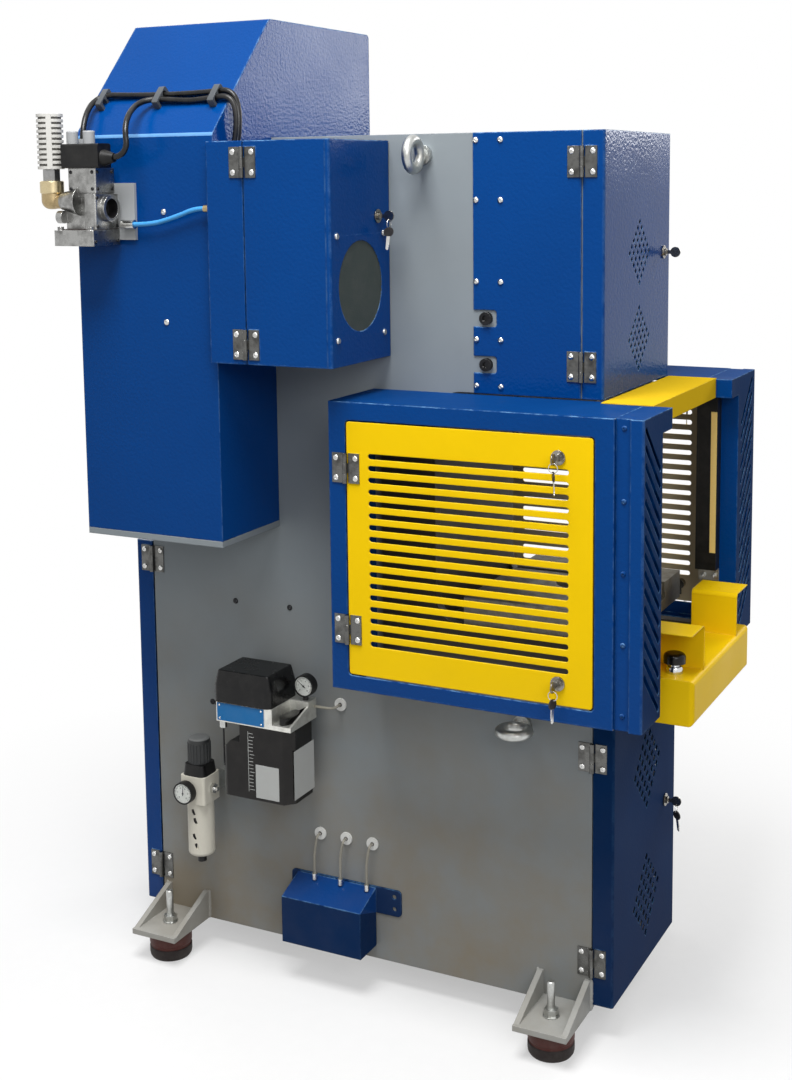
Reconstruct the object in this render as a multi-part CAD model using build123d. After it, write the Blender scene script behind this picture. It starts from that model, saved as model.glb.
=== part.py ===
"""Eccentric press with a C frame: millimetres, +Z up, front towards -Y, photographed side towards -X.

Each node is modelled about the frame's mid plane (X = 0), its rear edge (Y = 0) and the floor (Z = 0).
At the end every node is moved alike, so that the origin is the bottom centre of the whole press.
"""
import os
from math import cos, hypot, pi, radians, sin, tan

from build123d import *

# Frame plates
FRAME_WIDTH = 416.0  # over the outsides of the two side plates
PLATE = 25.0  # thickness of a side plate
LOWER_DEPTH = 1060.0  # rear edge to the lower front edge
HEAD_DEPTH = 1035.0  # rear edge to the front edge of the head
THROAT_BACK = 715.0  # rear edge to the back of the throat
UPPER_REAR = 300.0  # how far the upper rear edge stands forward, for the flywheel
FOOT_GAP = 65.0  # floor to the lower edge of the plates
BED_HEIGHT = 840.0  # floor to the bed
THROAT_HEIGHT = 490.0  # bed to the underside of the head
HEAD_HEIGHT = 520.0  # underside of the head to its top
THROAT_RADIUS = 60.0
STEP_HEIGHT = 1025.0  # where the plates step back for the rear cover
WEB = 20.0  # floor plate and top plate
WALL = 25.0  # upright web at the back of the throat
BED_PLATE = 40.0

# Sheet metal
SHEET = 2.0
PANEL = 3.0  # head panels and grille doors
PANEL_DEPTH = 230.0  # head's front edge to the rear edge of a head panel
NOTCH_CORNER = 6.0  # of the head panels' notches
GAP = 0.5  # between fixed sheets and the frame
DOOR_GAP = 3.0  # around each door
BEND = 5.0  # outside radius of a folded edge

# Shaft, rod and ram
CRANK_RISE = 310.0  # underside of the head to the shaft's axis
STROKE = 60.0
JOURNAL_R = 60.0
SHAFT_R = 50.0
SEAT_R = 40.0  # where the flywheel runs
CLUTCH_SEAT_R = 35.0
PIN_R = 45.0
PIN_WIDTH = 100.0
CHEEK_R = 85.0
CHEEK = 15.0
BUSH_WALL = 10.0
RUN = 0.05  # radial running clearance
CLEAR = 0.4  # sliding clearance of flat faces
FRONT_BEARING = 50.0
REAR_BEARING = 40.0
BEARING_SETBACK = 235.0  # head's front edge to the front bearing plate
ROD_LENGTH = 230.0
ROD_RING = 30.0  # wall of the big end
ROD_SHANK = 50.0
BALL_R = 30.0
RAM_WIDTH = 220.0
RAM_DEPTH = 180.0
RAM_LENGTH = 345.0
RAM_DROP = 130.0  # how far the ram hangs below the head at the top of its stroke
RAM_BACKSET = 90.0  # head's front edge to the ram's axis
TONGUE = 12.0
TONGUE_WIDTH = 60.0
SHANK_HOLE_R = 20.0
SHANK_HOLE_DEPTH = 75.0
GUIDE_LENGTH = 285.0
GUIDE_CAP_R = 13.0
GUIDE_CAP = 10.0
GUIDE_KEY = 12.0  # across the flats of a guide bolt's socket
GUIDE_TAIL = 40.0  # rear part of a guide that its bolts hold

# Flywheel and motor
FLYWHEEL_R = 205.0
FLYWHEEL_WIDTH = 100.0
FLYWHEEL_START = 155.0  # rear edge to the flywheel's rear face
BELT_WIDTH = 60.0
BELT = 5.0
BELT_GAP = 0.4
PULLEY_R = 55.0
MOTOR_OFFSET = 3.5  # motor's axis beyond the middle of its box
MOTOR_RISE = 221.0  # underside of the head to the motor's axis
MOTOR_ROOM = 44.5  # motor's body to the walls of its box
MOTOR_SHAFT_R = 14.0
MOTOR_FINS = 24
MOTOR_BRACKET = 15.0  # thickness of the plate that carries the motor
MOTOR_STAND = 7.0  # rear cover to that plate
MOTOR_SPIGOT_R = 44.0
MOTOR_NOSE = 42.0  # front of the motor box to the motor's front face

# Rear cover and motor box
COVER_FRONT = 338.0
COVER_BACK = 4.0
COVER_OUT = 224.0  # beyond the left plate
COVER_RIGHT = 28.0  # beyond the right plate
COVER_RISE = 246.0  # above the frame's top
SHOULDER_RISE = 4.0
COVER_BASE = 13.0
BOX_OUT = 249.0
BOX_LOW = 68.0
BOX_TALL = 440.0
BOX_SEAM = 423.0
BOX_FRONT = 617.0
INLET_EDGE = 34.5  # rim of the air inlet to the walls of the box

# Doors
DOOR_DEPTH = 44.0
LOWER_DOOR_LOW = 78.0
LOWER_DOOR_TOP = 692.0
REAR_DOOR_LOW = 81.0
REAR_DOOR_TOP = 945.0
VENT_ROWS = 6
VENT_HOLE = 9.0
LOWER_VENT_HOLE = 13.0
HINGE = 60.0
LEAF = 2.5
KNUCKLE_R = 5.0
HINGE_PIN_R = 2.4
LOCK_R = 11.0

# Guard around the tool space
GUARD_REACH = 193.0  # beyond each side plate
GUARD_REAR = 141.0  # behind the back of the throat
GUARD_FRONT = 108.0  # ahead of the lower front edge
UNIT_DEPTH = 56.0
UNIT_FLANGE = 30.0  # rear strip of a front unit that holds its screws
UNIT_RECESS = 8.0  # how far that strip stands back
GUARD_DROP = 99.0  # below the bed
GUARD_LIP = 30.0
LIP_LEFT = 22.0  # left end of the bridge's lip, beyond the left plate
LIP_RIGHT = -6.0  # its right end, beyond the right plate
TAB = 59.0  # tabs of the front units that carry the bridge
GRILLE_REAR = 40.0
GRILLE_WIDTH = 514.0
GRILLE_LOW = 34.0
GRILLE_TALL = 513.0
GRILLE_SLOTS = 17
GRILLE_PITCH = 23.7
GRILLE_SLOT = 11.0
GRILLE_SLOT_LENGTH = 419.0
GRILLE_CORNER = 6.0
UNIT_SLOTS = 15
UNIT_PITCH = 33.0
UNIT_SLOT = 12.0
UNIT_SLOT_LENGTH = 132.0
BRIDGE_LIP = 40.0
BRIDGE_SETBACK = 35.0  # front of the units to the bridge's lip
CURTAIN_WIDTH = 30.0
CURTAIN_DEPTH = 46.0
CURTAIN_LENGTH = 385.0

# Bolster and console
BOLSTER_INSET = 8.0  # outside of a side plate to the bolster's end
BOLSTER_DEPTH = 340.0
BOLSTER = 60.0
SLOT_NECK = 18.0
SLOT_WIDE = 30.0
SLOT_SPACING = 160.0
SLUG_HOLE_R = 40.0
CONSOLE_INSET = 6.0  # end of the bridge's lip to the console's end
CONSOLE_BEND = 10.0
CONSOLE_DEPTH = 102.0
CONSOLE_LOW = 704.0
CONSOLE_TALL = 91.0
SHROUD_WIDTH = 87.0
SHROUD_TALL = 90.0
BUTTON_R = 22.0
BUTTON_STEM_R = 11.0
BUTTON_TRAVEL = 6.0
COLLAR_TALL = 14.0

# Feet and lifting eyes
BRACKET_REACH = 142.0
BRACKET_WIDTH = 115.0
BRACKET_BASE = 12.0
BRACKET_TALL = 65.0
BRACKET_INSET = 11.0  # rear edge of the plates to a rear foot
BRACKET_SETBACK = 1.0  # front edge of the plates to a front foot, clear of the door's swing
STUD_OUT = 75.0
STUD_R = 8.0
STUD_TALL = 75.0
RUBBER_R = 48.0
EYE_R = 29.0
EYE_WIRE_R = 10.5
EYE_STAND = 47.0
EYE_TURNS = (90.0, 0.0)  # how far the upper and the lower rings are turned out of level

# Air valve, regulator, lubrication
VALVE_LENGTH = 100.0
VALVE_WIDE = 88.0
VALVE_TALL = 157.0
VALVE_PLATE = 8.0
VALVE_BASE = 32.0  # height of the base block
VALVE_JOINT = 104.0  # lowest edge to the joint under the upper block
VALVE_RISE = 302.0  # underside of the head to the valve's lowest edge
SILENCER_R = 27.0
SILENCER_TALL = 112.0
SILENCER_FINS = 11
NECK = 24.0  # height of the hexagon under the silencer
UNION = 26.0  # height of the elbow's union nut
HOSE_R = 5.0
CABLE_R = 6.0
CABLE_SPACING = 19.0
BOOT = 25.0  # length of the sleeve where a cable leaves its plug
CLIP_RISE = 0.3  # share of the way up the sloped facet
REGULATOR_OUT = 67.0
REGULATOR_BACK = 156.0
REGULATOR_LOW = 382.0
REGULATOR_HALF = 32.0  # half of the body's width
REGULATOR_TALL = 63.0  # height of the body
BONNET = 25.0  # height of the bonnet under the knob
BONNET_LEAN = 9.0  # degrees
KNOB_R = 24.5
KNOB_TALL = 58.0
BOWL_R = 30.0
BOWL_DROP = 126.0
PORT_R = 6.6
PUMP_BACK = 252.0
PUMP_WIDTH = 186.0
PUMP_LOW = 440.0
PUMP_IN = 28.0  # plate to the tank
PUMP_OUT = 137.0  # plate to the tank's outer face
PUMP_TANK = 163.0  # height of the tank
PUMP_HEAD = 44.0  # height of the head plate on it
LID_SKIRT = 36.0  # upright lower part of the lid
LID_TALL = 69.0
LID_LEAN = 14.0  # degrees
MANIFOLD_START = 369.0
MANIFOLD_WIDTH = 196.0
MANIFOLD_LOW = 96.0
MANIFOLD_OUT = 76.0  # plate to the box's outer face
MANIFOLD_TALL = 132.0  # height of the box at the plate
MANIFOLD_FALL = 28.0  # how much lower its outer edge is
TUBE_R = 3.0
DISC_R = 14.0

# Places that follow from the sizes above
HALF = FRAME_WIDTH / 2
INNER = HALF - PLATE
SKIN = HALF + PANEL
HEAD_Z = BED_HEIGHT + THROAT_HEIGHT
TOP_Z = HEAD_Z + HEAD_HEIGHT
CRANK_Z = HEAD_Z + CRANK_RISE
THROW = STROKE / 2
RAM_Y = RAM_BACKSET - HEAD_DEPTH
RAM_LOW = HEAD_Z - RAM_DROP
FRONT_BEARING_Y = BEARING_SETBACK - HEAD_DEPTH
PIN_FRONT = RAM_Y - PIN_WIDTH / 2
PIN_REAR = RAM_Y + PIN_WIDTH / 2
REAR_BEARING_Y = -UPPER_REAR - 5
FLYWHEEL_MID = -FLYWHEEL_START - FLYWHEEL_WIDTH / 2
MOTOR_X = -HALF - BOX_OUT / 2 - MOTOR_OFFSET
MOTOR_R = BOX_OUT / 2 - MOTOR_ROOM
INLET_R = BOX_OUT / 2 - INLET_EDGE
MOTOR_Z = HEAD_Z + MOTOR_RISE
MOTOR_FLANGE_Y = -COVER_FRONT - MOTOR_BRACKET - MOTOR_STAND
MOTOR_FRONT_Y = MOTOR_NOSE - BOX_FRONT
COVER_LEFT = -HALF - COVER_OUT
COVER_TOP = TOP_Z + COVER_RISE
SHOULDER = TOP_Z + SHOULDER_RISE
BOX_LEFT = -HALF - BOX_OUT
VALVE_LOW = HEAD_Z + VALVE_RISE
BOX_Z = HEAD_Z + BOX_LOW
GUARD_X = HALF + GUARD_REACH
GUARD_Y = GUARD_REAR - THROAT_BACK
OPENING_LEFT = HALF + LIP_LEFT
OPENING_RIGHT = HALF + LIP_RIGHT
UNIT_Y = -LOWER_DEPTH - GUARD_FRONT
UNIT_FACE = UNIT_Y - UNIT_DEPTH
GUARD_Z = BED_HEIGHT - GUARD_DROP
GUARD_TOP = HEAD_Z - PANEL
GRILLE_Y = GUARD_Y - GRILLE_REAR
GRILLE_Z = GUARD_Z + GRILLE_LOW
HEAD_DOOR_Y = -HEAD_DEPTH - 1
LOWER_DOOR_Y = -LOWER_DEPTH - 2
REAR_DOOR_Y = 4.0
CONSOLE_MID = (OPENING_RIGHT - OPENING_LEFT) / 2
CONSOLE_WIDTH = OPENING_RIGHT + OPENING_LEFT - 2 * CONSOLE_INSET
CONSOLE_Y = UNIT_Y
CONSOLE_FACE = CONSOLE_Y - CONSOLE_DEPTH
CONSOLE_TOP = CONSOLE_LOW + CONSOLE_TALL
BUTTON_Y = CONSOLE_Y - CONSOLE_DEPTH / 2
BOLSTER_TOP = BED_HEIGHT + BOLSTER

AXES = {"x": (1, 0, 0), "y": (0, 1, 0), "z": (0, 0, 1)}


def block(x0, x1, y0, y1, z0, z1):
    """A box between two corners."""
    size = Box(abs(x1 - x0), abs(y1 - y0), abs(z1 - z0))
    return Pos((x0 + x1) / 2, (y0 + y1) / 2, (z0 + z1) / 2) * size


def rod(x, y, z, axis, radius, length):
    """A cylinder from a point along an axis; a negative length runs the other way."""
    way = tuple(v * (1 if length > 0 else -1) for v in AXES[axis])
    body = Cylinder(radius, abs(length), align=(Align.CENTER, Align.CENTER, Align.MIN))
    return Plane(origin=(x, y, z), z_dir=way) * body


def ring(x, y, z, axis, outer, inner, length):
    """A cylinder with a through bore."""
    return rod(x, y, z, axis, outer, length) - rod(x, y, z, axis, inner, length)


def mirrored(part):
    """The same piece on the other side of the mid plane."""
    return part.mirror(Plane.YZ)


def tube(points, radius, bends=None):
    """A round tube along straight runs; without given bend radii each bend is as wide as its runs allow."""
    if bends is None:
        bends = []
        for before, at, after in zip(points, points[1:], points[2:]):
            first = Vector(*at) - Vector(*before)
            second = Vector(*after) - Vector(*at)
            turn = radians(first.get_angle(second))
            bends.append(0.45 * min(first.length, second.length) / tan(turn / 2))
    path = FilletPolyline(*points, radius=bends)
    return sweep(Plane(origin=path @ 0, z_dir=path % 0) * Circle(radius), path)


def tray(x0, x1, y0, y1, z0, z1, open_side):
    """A folded sheet box with one open side, "front" (-Y) or "rear" (+Y), and rounded upright edges."""
    shell = block(x0, x1, y0, y1, z0, z1)
    closed = Axis.Y if open_side == "front" else -Axis.Y
    edges = shell.faces().sort_by(closed)[-1].edges().filter_by(Axis.Z)
    shell = fillet(edges, BEND)
    front = y0 - 1 if open_side == "front" else y0 + SHEET
    rear = y1 - SHEET if open_side == "front" else y1 + 1
    return shell - block(x0 + SHEET, x1 - SHEET, front, rear, z0 + SHEET, z1 - SHEET)


def hinge(x, side, y, z, away):
    """One butt hinge on a wall at x that faces side; away is the way its moving leaf points along Y."""
    axis_x = x + side * (KNUCKLE_R + CLEAR)
    third = HINGE / 3
    reach = KNUCKLE_R + 1

    def leaf(way, spans, bore):
        part = block(x, x + side * LEAF, y + way * reach, y + way * HINGE / 2, z - HINGE / 2, z + HINGE / 2)
        for low, high in spans:
            part += block(x, x + side * LEAF, y + way * CLEAR, y + way * (reach + 1), low, high)
            part += rod(axis_x, y, low, "z", KNUCKLE_R, high - low)
        for rise in (-third, third):
            part += rod(x + side * LEAF, y + way * 0.36 * HINGE, z + rise, "x", 4.5, side * 1.5)
        if bore:
            part -= rod(axis_x, y, z - HINGE / 2, "z", HINGE_PIN_R + RUN, HINGE)
        return part

    ends = [(z - HINGE / 2, z - third / 2), (z + third / 2, z + HINGE / 2)]
    fixed = leaf(-away, ends, False) + rod(axis_x, y, z - HINGE / 2, "z", HINGE_PIN_R, HINGE)
    moving = leaf(away, [(z - third / 2 + CLEAR, z + third / 2 - CLEAR)], True)
    return fixed, moving


def lock(x, y, z, facing, across):
    """A lock barrel with its key and tongue, turning in a door's hole; its axis points out of the door."""
    place = Plane(origin=(x, y, z), x_dir=across, z_dir=facing)
    low = (Align.CENTER, Align.CENTER, Align.MIN)
    barrel = Pos(0, 0, -18) * Cylinder(LOCK_R - RUN, 18 + CLEAR, align=low)
    barrel += Pos(0, 0, CLEAR) * Cylinder(LOCK_R + 3, 3, align=low)
    barrel += Pos(0, 0, 3) * Cylinder(LOCK_R - 3, 5, align=low)
    barrel += Pos(0, 0, 7) * Box(2.4, 8, 12, align=low)
    barrel += Pos(0, 0, 27) * Rot(0, 90, 0) * Cylinder(11, 2.4)
    barrel += Pos(0, 10, -18) * Box(10, 28, 2.5, align=low)
    return place * barrel


def lock_hole(x, y, z, axis, depth):
    """The hole in a door's wall that a lock barrel turns in."""
    return rod(x, y, z, axis, LOCK_R, depth)


def hex_head(x, y, z, axis, across_flats, height):
    """A hexagon bolt head or nut."""
    way = tuple(v * (1 if height > 0 else -1) for v in AXES[axis])
    outline = RegularPolygon(across_flats / 2, 6, major_radius=False)
    return Plane(origin=(x, y, z), z_dir=way) * extrude(outline, abs(height))


def screw_head(x, y, z, axis, height):
    """A domed screw head on a wall."""
    head = rod(x, y, z, axis, 6.5, height)
    edge = head.edges().filter_by(GeomType.CIRCLE).sort_by(Axis(head.center(), AXES[axis]))
    return fillet(edge[-1 if height > 0 else 0], abs(height) * 0.7)


def vents(x, z, y, rows, across, tall, size):
    """A diamond of small diamond holes of one size through a door's front wall at y."""
    step_x = across / (2 * rows - 2)
    step_z = tall / (2 * rows - 2)
    hole = Rot(0, 0, 45) * Rectangle(size, size)
    sheet = Sketch()
    for i in range(rows):
        sheet += [Pos(x + (i - j) * step_x, z + (i + j - rows + 1) * step_z) * hole for j in range(rows)]
    return extrude(Plane.XZ.offset(-y - 2 * SHEET) * sheet, 4 * SHEET)


def side_plate():
    """The left side plate: a C outline with a rounded throat and holes for its eyes and guide bolts."""
    corners = [(0, FOOT_GAP), (-LOWER_DEPTH, FOOT_GAP), (-LOWER_DEPTH, BED_HEIGHT)]
    corners += [(-THROAT_BACK, BED_HEIGHT), (-THROAT_BACK, HEAD_Z), (-HEAD_DEPTH, HEAD_Z)]
    corners += [(-HEAD_DEPTH, TOP_Z), (-UPPER_REAR, TOP_Z), (-UPPER_REAR, STEP_HEIGHT), (0, STEP_HEIGHT)]
    face = make_face(Polyline(*corners, close=True))
    throat = [v for v in face.vertices() if abs(v.X + THROAT_BACK) < 1]
    face = fillet(throat, THROAT_RADIUS)
    plate = extrude(Plane.YZ.offset(-HALF) * face, PLATE)
    for y, z in eye_places():
        plate -= rod(-HALF - 1, y, z, "x", STUD_R + RUN, PLATE + 2)
    for z in guide_bolt_heights():
        plate -= rod(-HALF - 1, guide_bolt_y(), z, "x", STUD_R + RUN, PLATE + 2)
    return plate


def eye_places():
    """Y and Z of the two lifting eyes on a side plate."""
    return [(20 - THROAT_BACK, TOP_Z - 42), (150 - LOWER_DEPTH, GUARD_Z - 90)]


def guide_bolt_heights():
    return [HEAD_Z + 59, HEAD_Z + 152]


def guide_bolt_y():
    return RAM_Y + RAM_DEPTH / 2 + GUIDE_TAIL / 2 + 2


def cross_plates():
    """Plates between the side plates, the motor's bracket and the two arms that carry the console."""
    slug_way = rod(0, RAM_Y, 0, "z", SLUG_HOLE_R + 5, BED_HEIGHT + 1)
    floor = block(-INNER, INNER, 20 - LOWER_DEPTH, -20, FOOT_GAP, FOOT_GAP + WEB)
    bed = block(-INNER, INNER, -LOWER_DEPTH, -THROAT_BACK, BED_HEIGHT - BED_PLATE, BED_HEIGHT)
    plates = [floor - slug_way, bed - slug_way]
    plates.append(block(-INNER, INNER, -THROAT_BACK, WALL - THROAT_BACK, FOOT_GAP + WEB, HEAD_Z))
    plates.append(bearing_plate(FRONT_BEARING_Y, FRONT_BEARING, JOURNAL_R + BUSH_WALL))
    plates.append(bearing_plate(REAR_BEARING_Y - REAR_BEARING, REAR_BEARING, SHAFT_R + BUSH_WALL))
    plates.append(block(-INNER, INNER, -HEAD_DEPTH, -UPPER_REAR, TOP_Z - WEB, TOP_Z))
    rear = MOTOR_FLANGE_Y + MOTOR_BRACKET
    end = MOTOR_X - MOTOR_R - 25
    bracket = block(-HALF, end, MOTOR_FLANGE_Y, rear, MOTOR_Z - 120, MOTOR_Z + 120)
    spigot_hole = rod(MOTOR_X, MOTOR_FLANGE_Y - 1, MOTOR_Z, "y", MOTOR_SPIGOT_R + 1, MOTOR_BRACKET + 2)
    plates.append(bracket - spigot_hole)
    plates.append(block(-INNER, INNER, -3 * SHEET, 0, REAR_DOOR_TOP - 15, STEP_HEIGHT))
    for x in (-HALF, HALF - PLATE):
        plates.append(block(x, x + PLATE, CONSOLE_Y, -LOWER_DEPTH, CONSOLE_TOP - 55, CONSOLE_TOP - 5))
    return plates


def bearing_plate(y, thick, bore):
    """A cross plate of the head with a bore for a shaft bush."""
    plate = block(-INNER, INNER, y, y + thick, HEAD_Z, TOP_Z - WEB)
    return plate - rod(0, y - 1, CRANK_Z, "y", bore, thick + 2)


def shaft_bushes():
    """Bronze bushes in the two bearing plates."""
    wall = BUSH_WALL - RUN
    front = ring(0, FRONT_BEARING_Y, CRANK_Z, "y", JOURNAL_R + wall, JOURNAL_R + RUN, FRONT_BEARING)
    rear_y = REAR_BEARING_Y - REAR_BEARING
    rear = ring(0, rear_y, CRANK_Z, "y", SHAFT_R + wall, SHAFT_R + RUN, REAR_BEARING)
    return [front, rear]


def eccentric_shaft():
    """The shaft with its overhung eccentric pin, at the top of the stroke."""
    rear_end = -40
    shaft = rod(0, PIN_FRONT, CRANK_Z + THROW, "y", PIN_R, PIN_WIDTH)
    shaft += rod(0, PIN_FRONT - 8, CRANK_Z + THROW, "y", PIN_R + 7, 8)
    shaft += rod(0, PIN_REAR, CRANK_Z, "y", CHEEK_R, CHEEK)
    front_end = FRONT_BEARING_Y + FRONT_BEARING + 5
    shaft += rod(0, PIN_REAR + CHEEK, CRANK_Z, "y", JOURNAL_R, front_end - PIN_REAR - CHEEK)
    shaft += rod(0, front_end, CRANK_Z, "y", SHAFT_R, -UPPER_REAR - front_end)
    shaft += rod(0, -UPPER_REAR, CRANK_Z, "y", SEAT_R, UPPER_REAR - FLYWHEEL_START + 20)
    shaft += rod(0, 20 - FLYWHEEL_START, CRANK_Z, "y", CLUTCH_SEAT_R, rear_end + FLYWHEEL_START - 20)
    return shaft


def flywheel():
    """A spoked-web flywheel whose rim carries the flat belt."""
    front = FLYWHEEL_MID - FLYWHEEL_WIDTH / 2
    wheel = rod(0, front, CRANK_Z, "y", FLYWHEEL_R, FLYWHEEL_WIDTH)
    web = 30.0
    recess = (FLYWHEEL_WIDTH - web) / 2
    rim = FLYWHEEL_R - 40
    hub = SEAT_R + 30
    for y in (front, front + FLYWHEEL_WIDTH - recess):
        wheel -= ring(0, y, CRANK_Z, "y", rim, hub, recess)
    holes = 6
    hole_r = (rim - hub) / 2 - 12
    middle = (rim + hub) / 2
    for k in range(holes):
        turn = 2 * pi * k / holes
        z = CRANK_Z + middle * sin(turn)
        wheel -= rod(middle * cos(turn), front, z, "y", hole_r, FLYWHEEL_WIDTH)
    return wheel - rod(0, front - 1, CRANK_Z, "y", SEAT_R + RUN, FLYWHEEL_WIDTH + 2)


def clutch_brake():
    """The air clutch and brake unit on the shaft's rear end."""
    start = 25 - FLYWHEEL_START
    unit = rod(0, start, CRANK_Z, "y", 130, 26)
    unit += rod(0, start + 26, CRANK_Z, "y", 102, 30)
    unit += rod(0, start + 56, CRANK_Z, "y", 55, 18)
    for k in range(8):
        turn = 2 * pi * k / 8
        unit += hex_head(80 * cos(turn), start + 56, CRANK_Z + 80 * sin(turn), "y", 17, 8)
    return unit - rod(0, start - 1, CRANK_Z, "y", CLUTCH_SEAT_R + RUN, 80)


def belt_loop(grow):
    """Outline of the belt around the pulley and the flywheel, grown from their rims."""
    circles = (Pos(MOTOR_X, MOTOR_Z) * Circle(PULLEY_R + grow)).edges()
    circles += (Pos(0, CRANK_Z) * Circle(FLYWHEEL_R + grow)).edges()
    return make_hull(circles)


def drive_belt():
    """A flat belt, clear of both rims by a thin gap."""
    face = belt_loop(BELT_GAP + BELT) - belt_loop(BELT_GAP)
    return extrude(Plane.XZ.offset(-FLYWHEEL_MID - BELT_WIDTH / 2) * face, BELT_WIDTH)


def motor_body():
    """A finned flange motor with a terminal box and a fan cowl; its axis runs front to back."""
    rear = MOTOR_FLANGE_Y
    front = MOTOR_FRONT_Y
    top = MOTOR_Z + MOTOR_R
    body = rod(MOTOR_X, rear, MOTOR_Z, "y", MOTOR_R + 20, -12)
    body += rod(MOTOR_X, rear, MOTOR_Z, "y", MOTOR_SPIGOT_R, MOTOR_BRACKET - 1)
    body += rod(MOTOR_X, rear - 12, MOTOR_Z, "y", MOTOR_R, front - rear + 12)
    for k in range(MOTOR_FINS):
        fin = Pos(MOTOR_R + 3, 0, 0) * Box(14, rear - front - 30, 3)
        body += Pos(MOTOR_X, (front + rear) / 2, MOTOR_Z) * Rot(0, 360 * (k + 0.5) / MOTOR_FINS, 0) * fin
    body += block(MOTOR_X - 45, MOTOR_X + 45, rear - 130, rear - 40, top - 5, top + 55)
    body += ring(MOTOR_X, front, MOTOR_Z, "y", MOTOR_R + 8, MOTOR_R + 5, -28)
    body += ring(MOTOR_X, front, MOTOR_Z, "y", MOTOR_R + 8, MOTOR_SHAFT_R + 6, -3)
    return body - rod(MOTOR_X, rear + 15, MOTOR_Z, "y", MOTOR_SHAFT_R + RUN, front - rear - 30)


def motor_rotor():
    """The motor's shaft, its belt pulley and its cooling fan."""
    front = MOTOR_FRONT_Y
    shaft = rod(MOTOR_X, front - 24, MOTOR_Z, "y", MOTOR_SHAFT_R, -20 - FLYWHEEL_START - front + 24)
    y = FLYWHEEL_MID - BELT_WIDTH / 2 - 5
    wide = BELT_WIDTH + 10
    pulley = rod(MOTOR_X, y, MOTOR_Z, "y", PULLEY_R, wide)
    for edge in (y, y + wide - 3):
        pulley += rod(MOTOR_X, edge, MOTOR_Z, "y", PULLEY_R + 7, 3)
    pulley -= rod(MOTOR_X, y - 1, MOTOR_Z, "y", MOTOR_SHAFT_R + RUN, wide + 2)
    fan = rod(MOTOR_X, front - 22, MOTOR_Z, "y", MOTOR_SHAFT_R + 12, 16)
    for k in range(8):
        blade = Pos(0, 0, MOTOR_R / 2 + 8) * Box(2.5, 16, MOTOR_R - 20)
        fan += Pos(MOTOR_X, front - 14, MOTOR_Z) * Rot(0, 45 * k, 0) * blade
    fan -= rod(MOTOR_X, front - 40, MOTOR_Z, "y", MOTOR_SHAFT_R + RUN, 60)
    return [shaft, pulley, fan]


def connecting_rod():
    """The rod that hangs from the eccentric pin, with a ball at its lower end."""
    eye_z = CRANK_Z + THROW
    y = PIN_FRONT + 5
    wide = PIN_WIDTH - 10
    part = rod(0, y, eye_z, "y", PIN_R + ROD_RING, wide)
    half = ROD_SHANK / 2
    part += block(-half, half, RAM_Y - half, RAM_Y + half, eye_z - ROD_LENGTH, eye_z - PIN_R - 5)
    part += Pos(0, RAM_Y, eye_z - ROD_LENGTH) * Sphere(BALL_R)
    return part - rod(0, y - 1, eye_z, "y", PIN_R + RUN, wide + 2)


def ram():
    """The ram with side tongues, a pocket for the rod's ball and a hole for the tool's shank."""
    half = RAM_WIDTH / 2
    wide = half + TONGUE
    top = RAM_LOW + RAM_LENGTH
    part = block(-half, half, RAM_Y - RAM_DEPTH / 2, RAM_Y + RAM_DEPTH / 2, RAM_LOW, top)
    part = chamfer(part.edges().filter_by(Axis.Z), 3)
    part += block(-wide, wide, RAM_Y - TONGUE_WIDTH / 2, RAM_Y + TONGUE_WIDTH / 2, RAM_LOW + 120, top)
    ball_z = CRANK_Z + THROW - ROD_LENGTH
    slack = 0.22 * THROW + 2
    reach = max(BALL_R, ROD_SHANK / 2) + THROW + 5
    depth = BALL_R + 5
    part -= block(-reach, reach, RAM_Y - depth, RAM_Y + depth, ball_z - BALL_R - slack, top + 1)
    part -= rod(0, RAM_Y, RAM_LOW - 1, "z", SHANK_HOLE_R, SHANK_HOLE_DEPTH + 1)
    return part


def ram_guides():
    """Guides on the side plates that the ram's tongues slide in, and the bolts that hold them."""
    front = RAM_Y - RAM_DEPTH / 2
    rear = RAM_Y + RAM_DEPTH / 2 + GUIDE_TAIL
    face = RAM_WIDTH / 2 + CLEAR
    groove = TONGUE_WIDTH / 2 + CLEAR
    low = HEAD_Z + 5
    guide = block(-INNER, -face, front, rear, low, low + GUIDE_LENGTH)
    guide -= block(-face - TONGUE, -face + 1, RAM_Y - groove, RAM_Y + groove, low - 1, low + GUIDE_LENGTH + 1)
    pieces = [guide]
    for z in guide_bolt_heights():
        guide -= rod(-INNER - 1, guide_bolt_y(), z, "x", STUD_R + RUN, 41)
        bolt = rod(-HALF, guide_bolt_y(), z, "x", STUD_R, PLATE + 38)
        cap = rod(-HALF, guide_bolt_y(), z, "x", GUIDE_CAP_R, -GUIDE_CAP)
        socket = hex_head(-HALF - GUIDE_CAP, guide_bolt_y(), z, "x", GUIDE_KEY, GUIDE_CAP / 2)
        pieces.append(bolt + cap - socket)
    pieces[0] = guide
    return pieces + [mirrored(p) for p in pieces]


def bolster():
    """The bolster plate with two tee slots and a slug hole."""
    half = HALF - BOLSTER_INSET
    front = RAM_Y - BOLSTER_DEPTH / 2
    rear = RAM_Y + BOLSTER_DEPTH / 2
    plate = block(-half, half, front, rear, BED_HEIGHT, BOLSTER_TOP)
    neck = SLOT_NECK / 2
    foot = SLOT_WIDE / 2
    for x in (-SLOT_SPACING / 2, SLOT_SPACING / 2):
        plate -= block(x - neck, x + neck, front - 1, rear + 1, BOLSTER_TOP - 24, BOLSTER_TOP + 1)
        plate -= block(x - foot, x + foot, front - 1, rear + 1, BOLSTER_TOP - 36, BOLSTER_TOP - 22)
    return plate - rod(0, RAM_Y, BED_HEIGHT - 1, "z", SLUG_HOLE_R, BOLSTER + 2)


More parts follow.
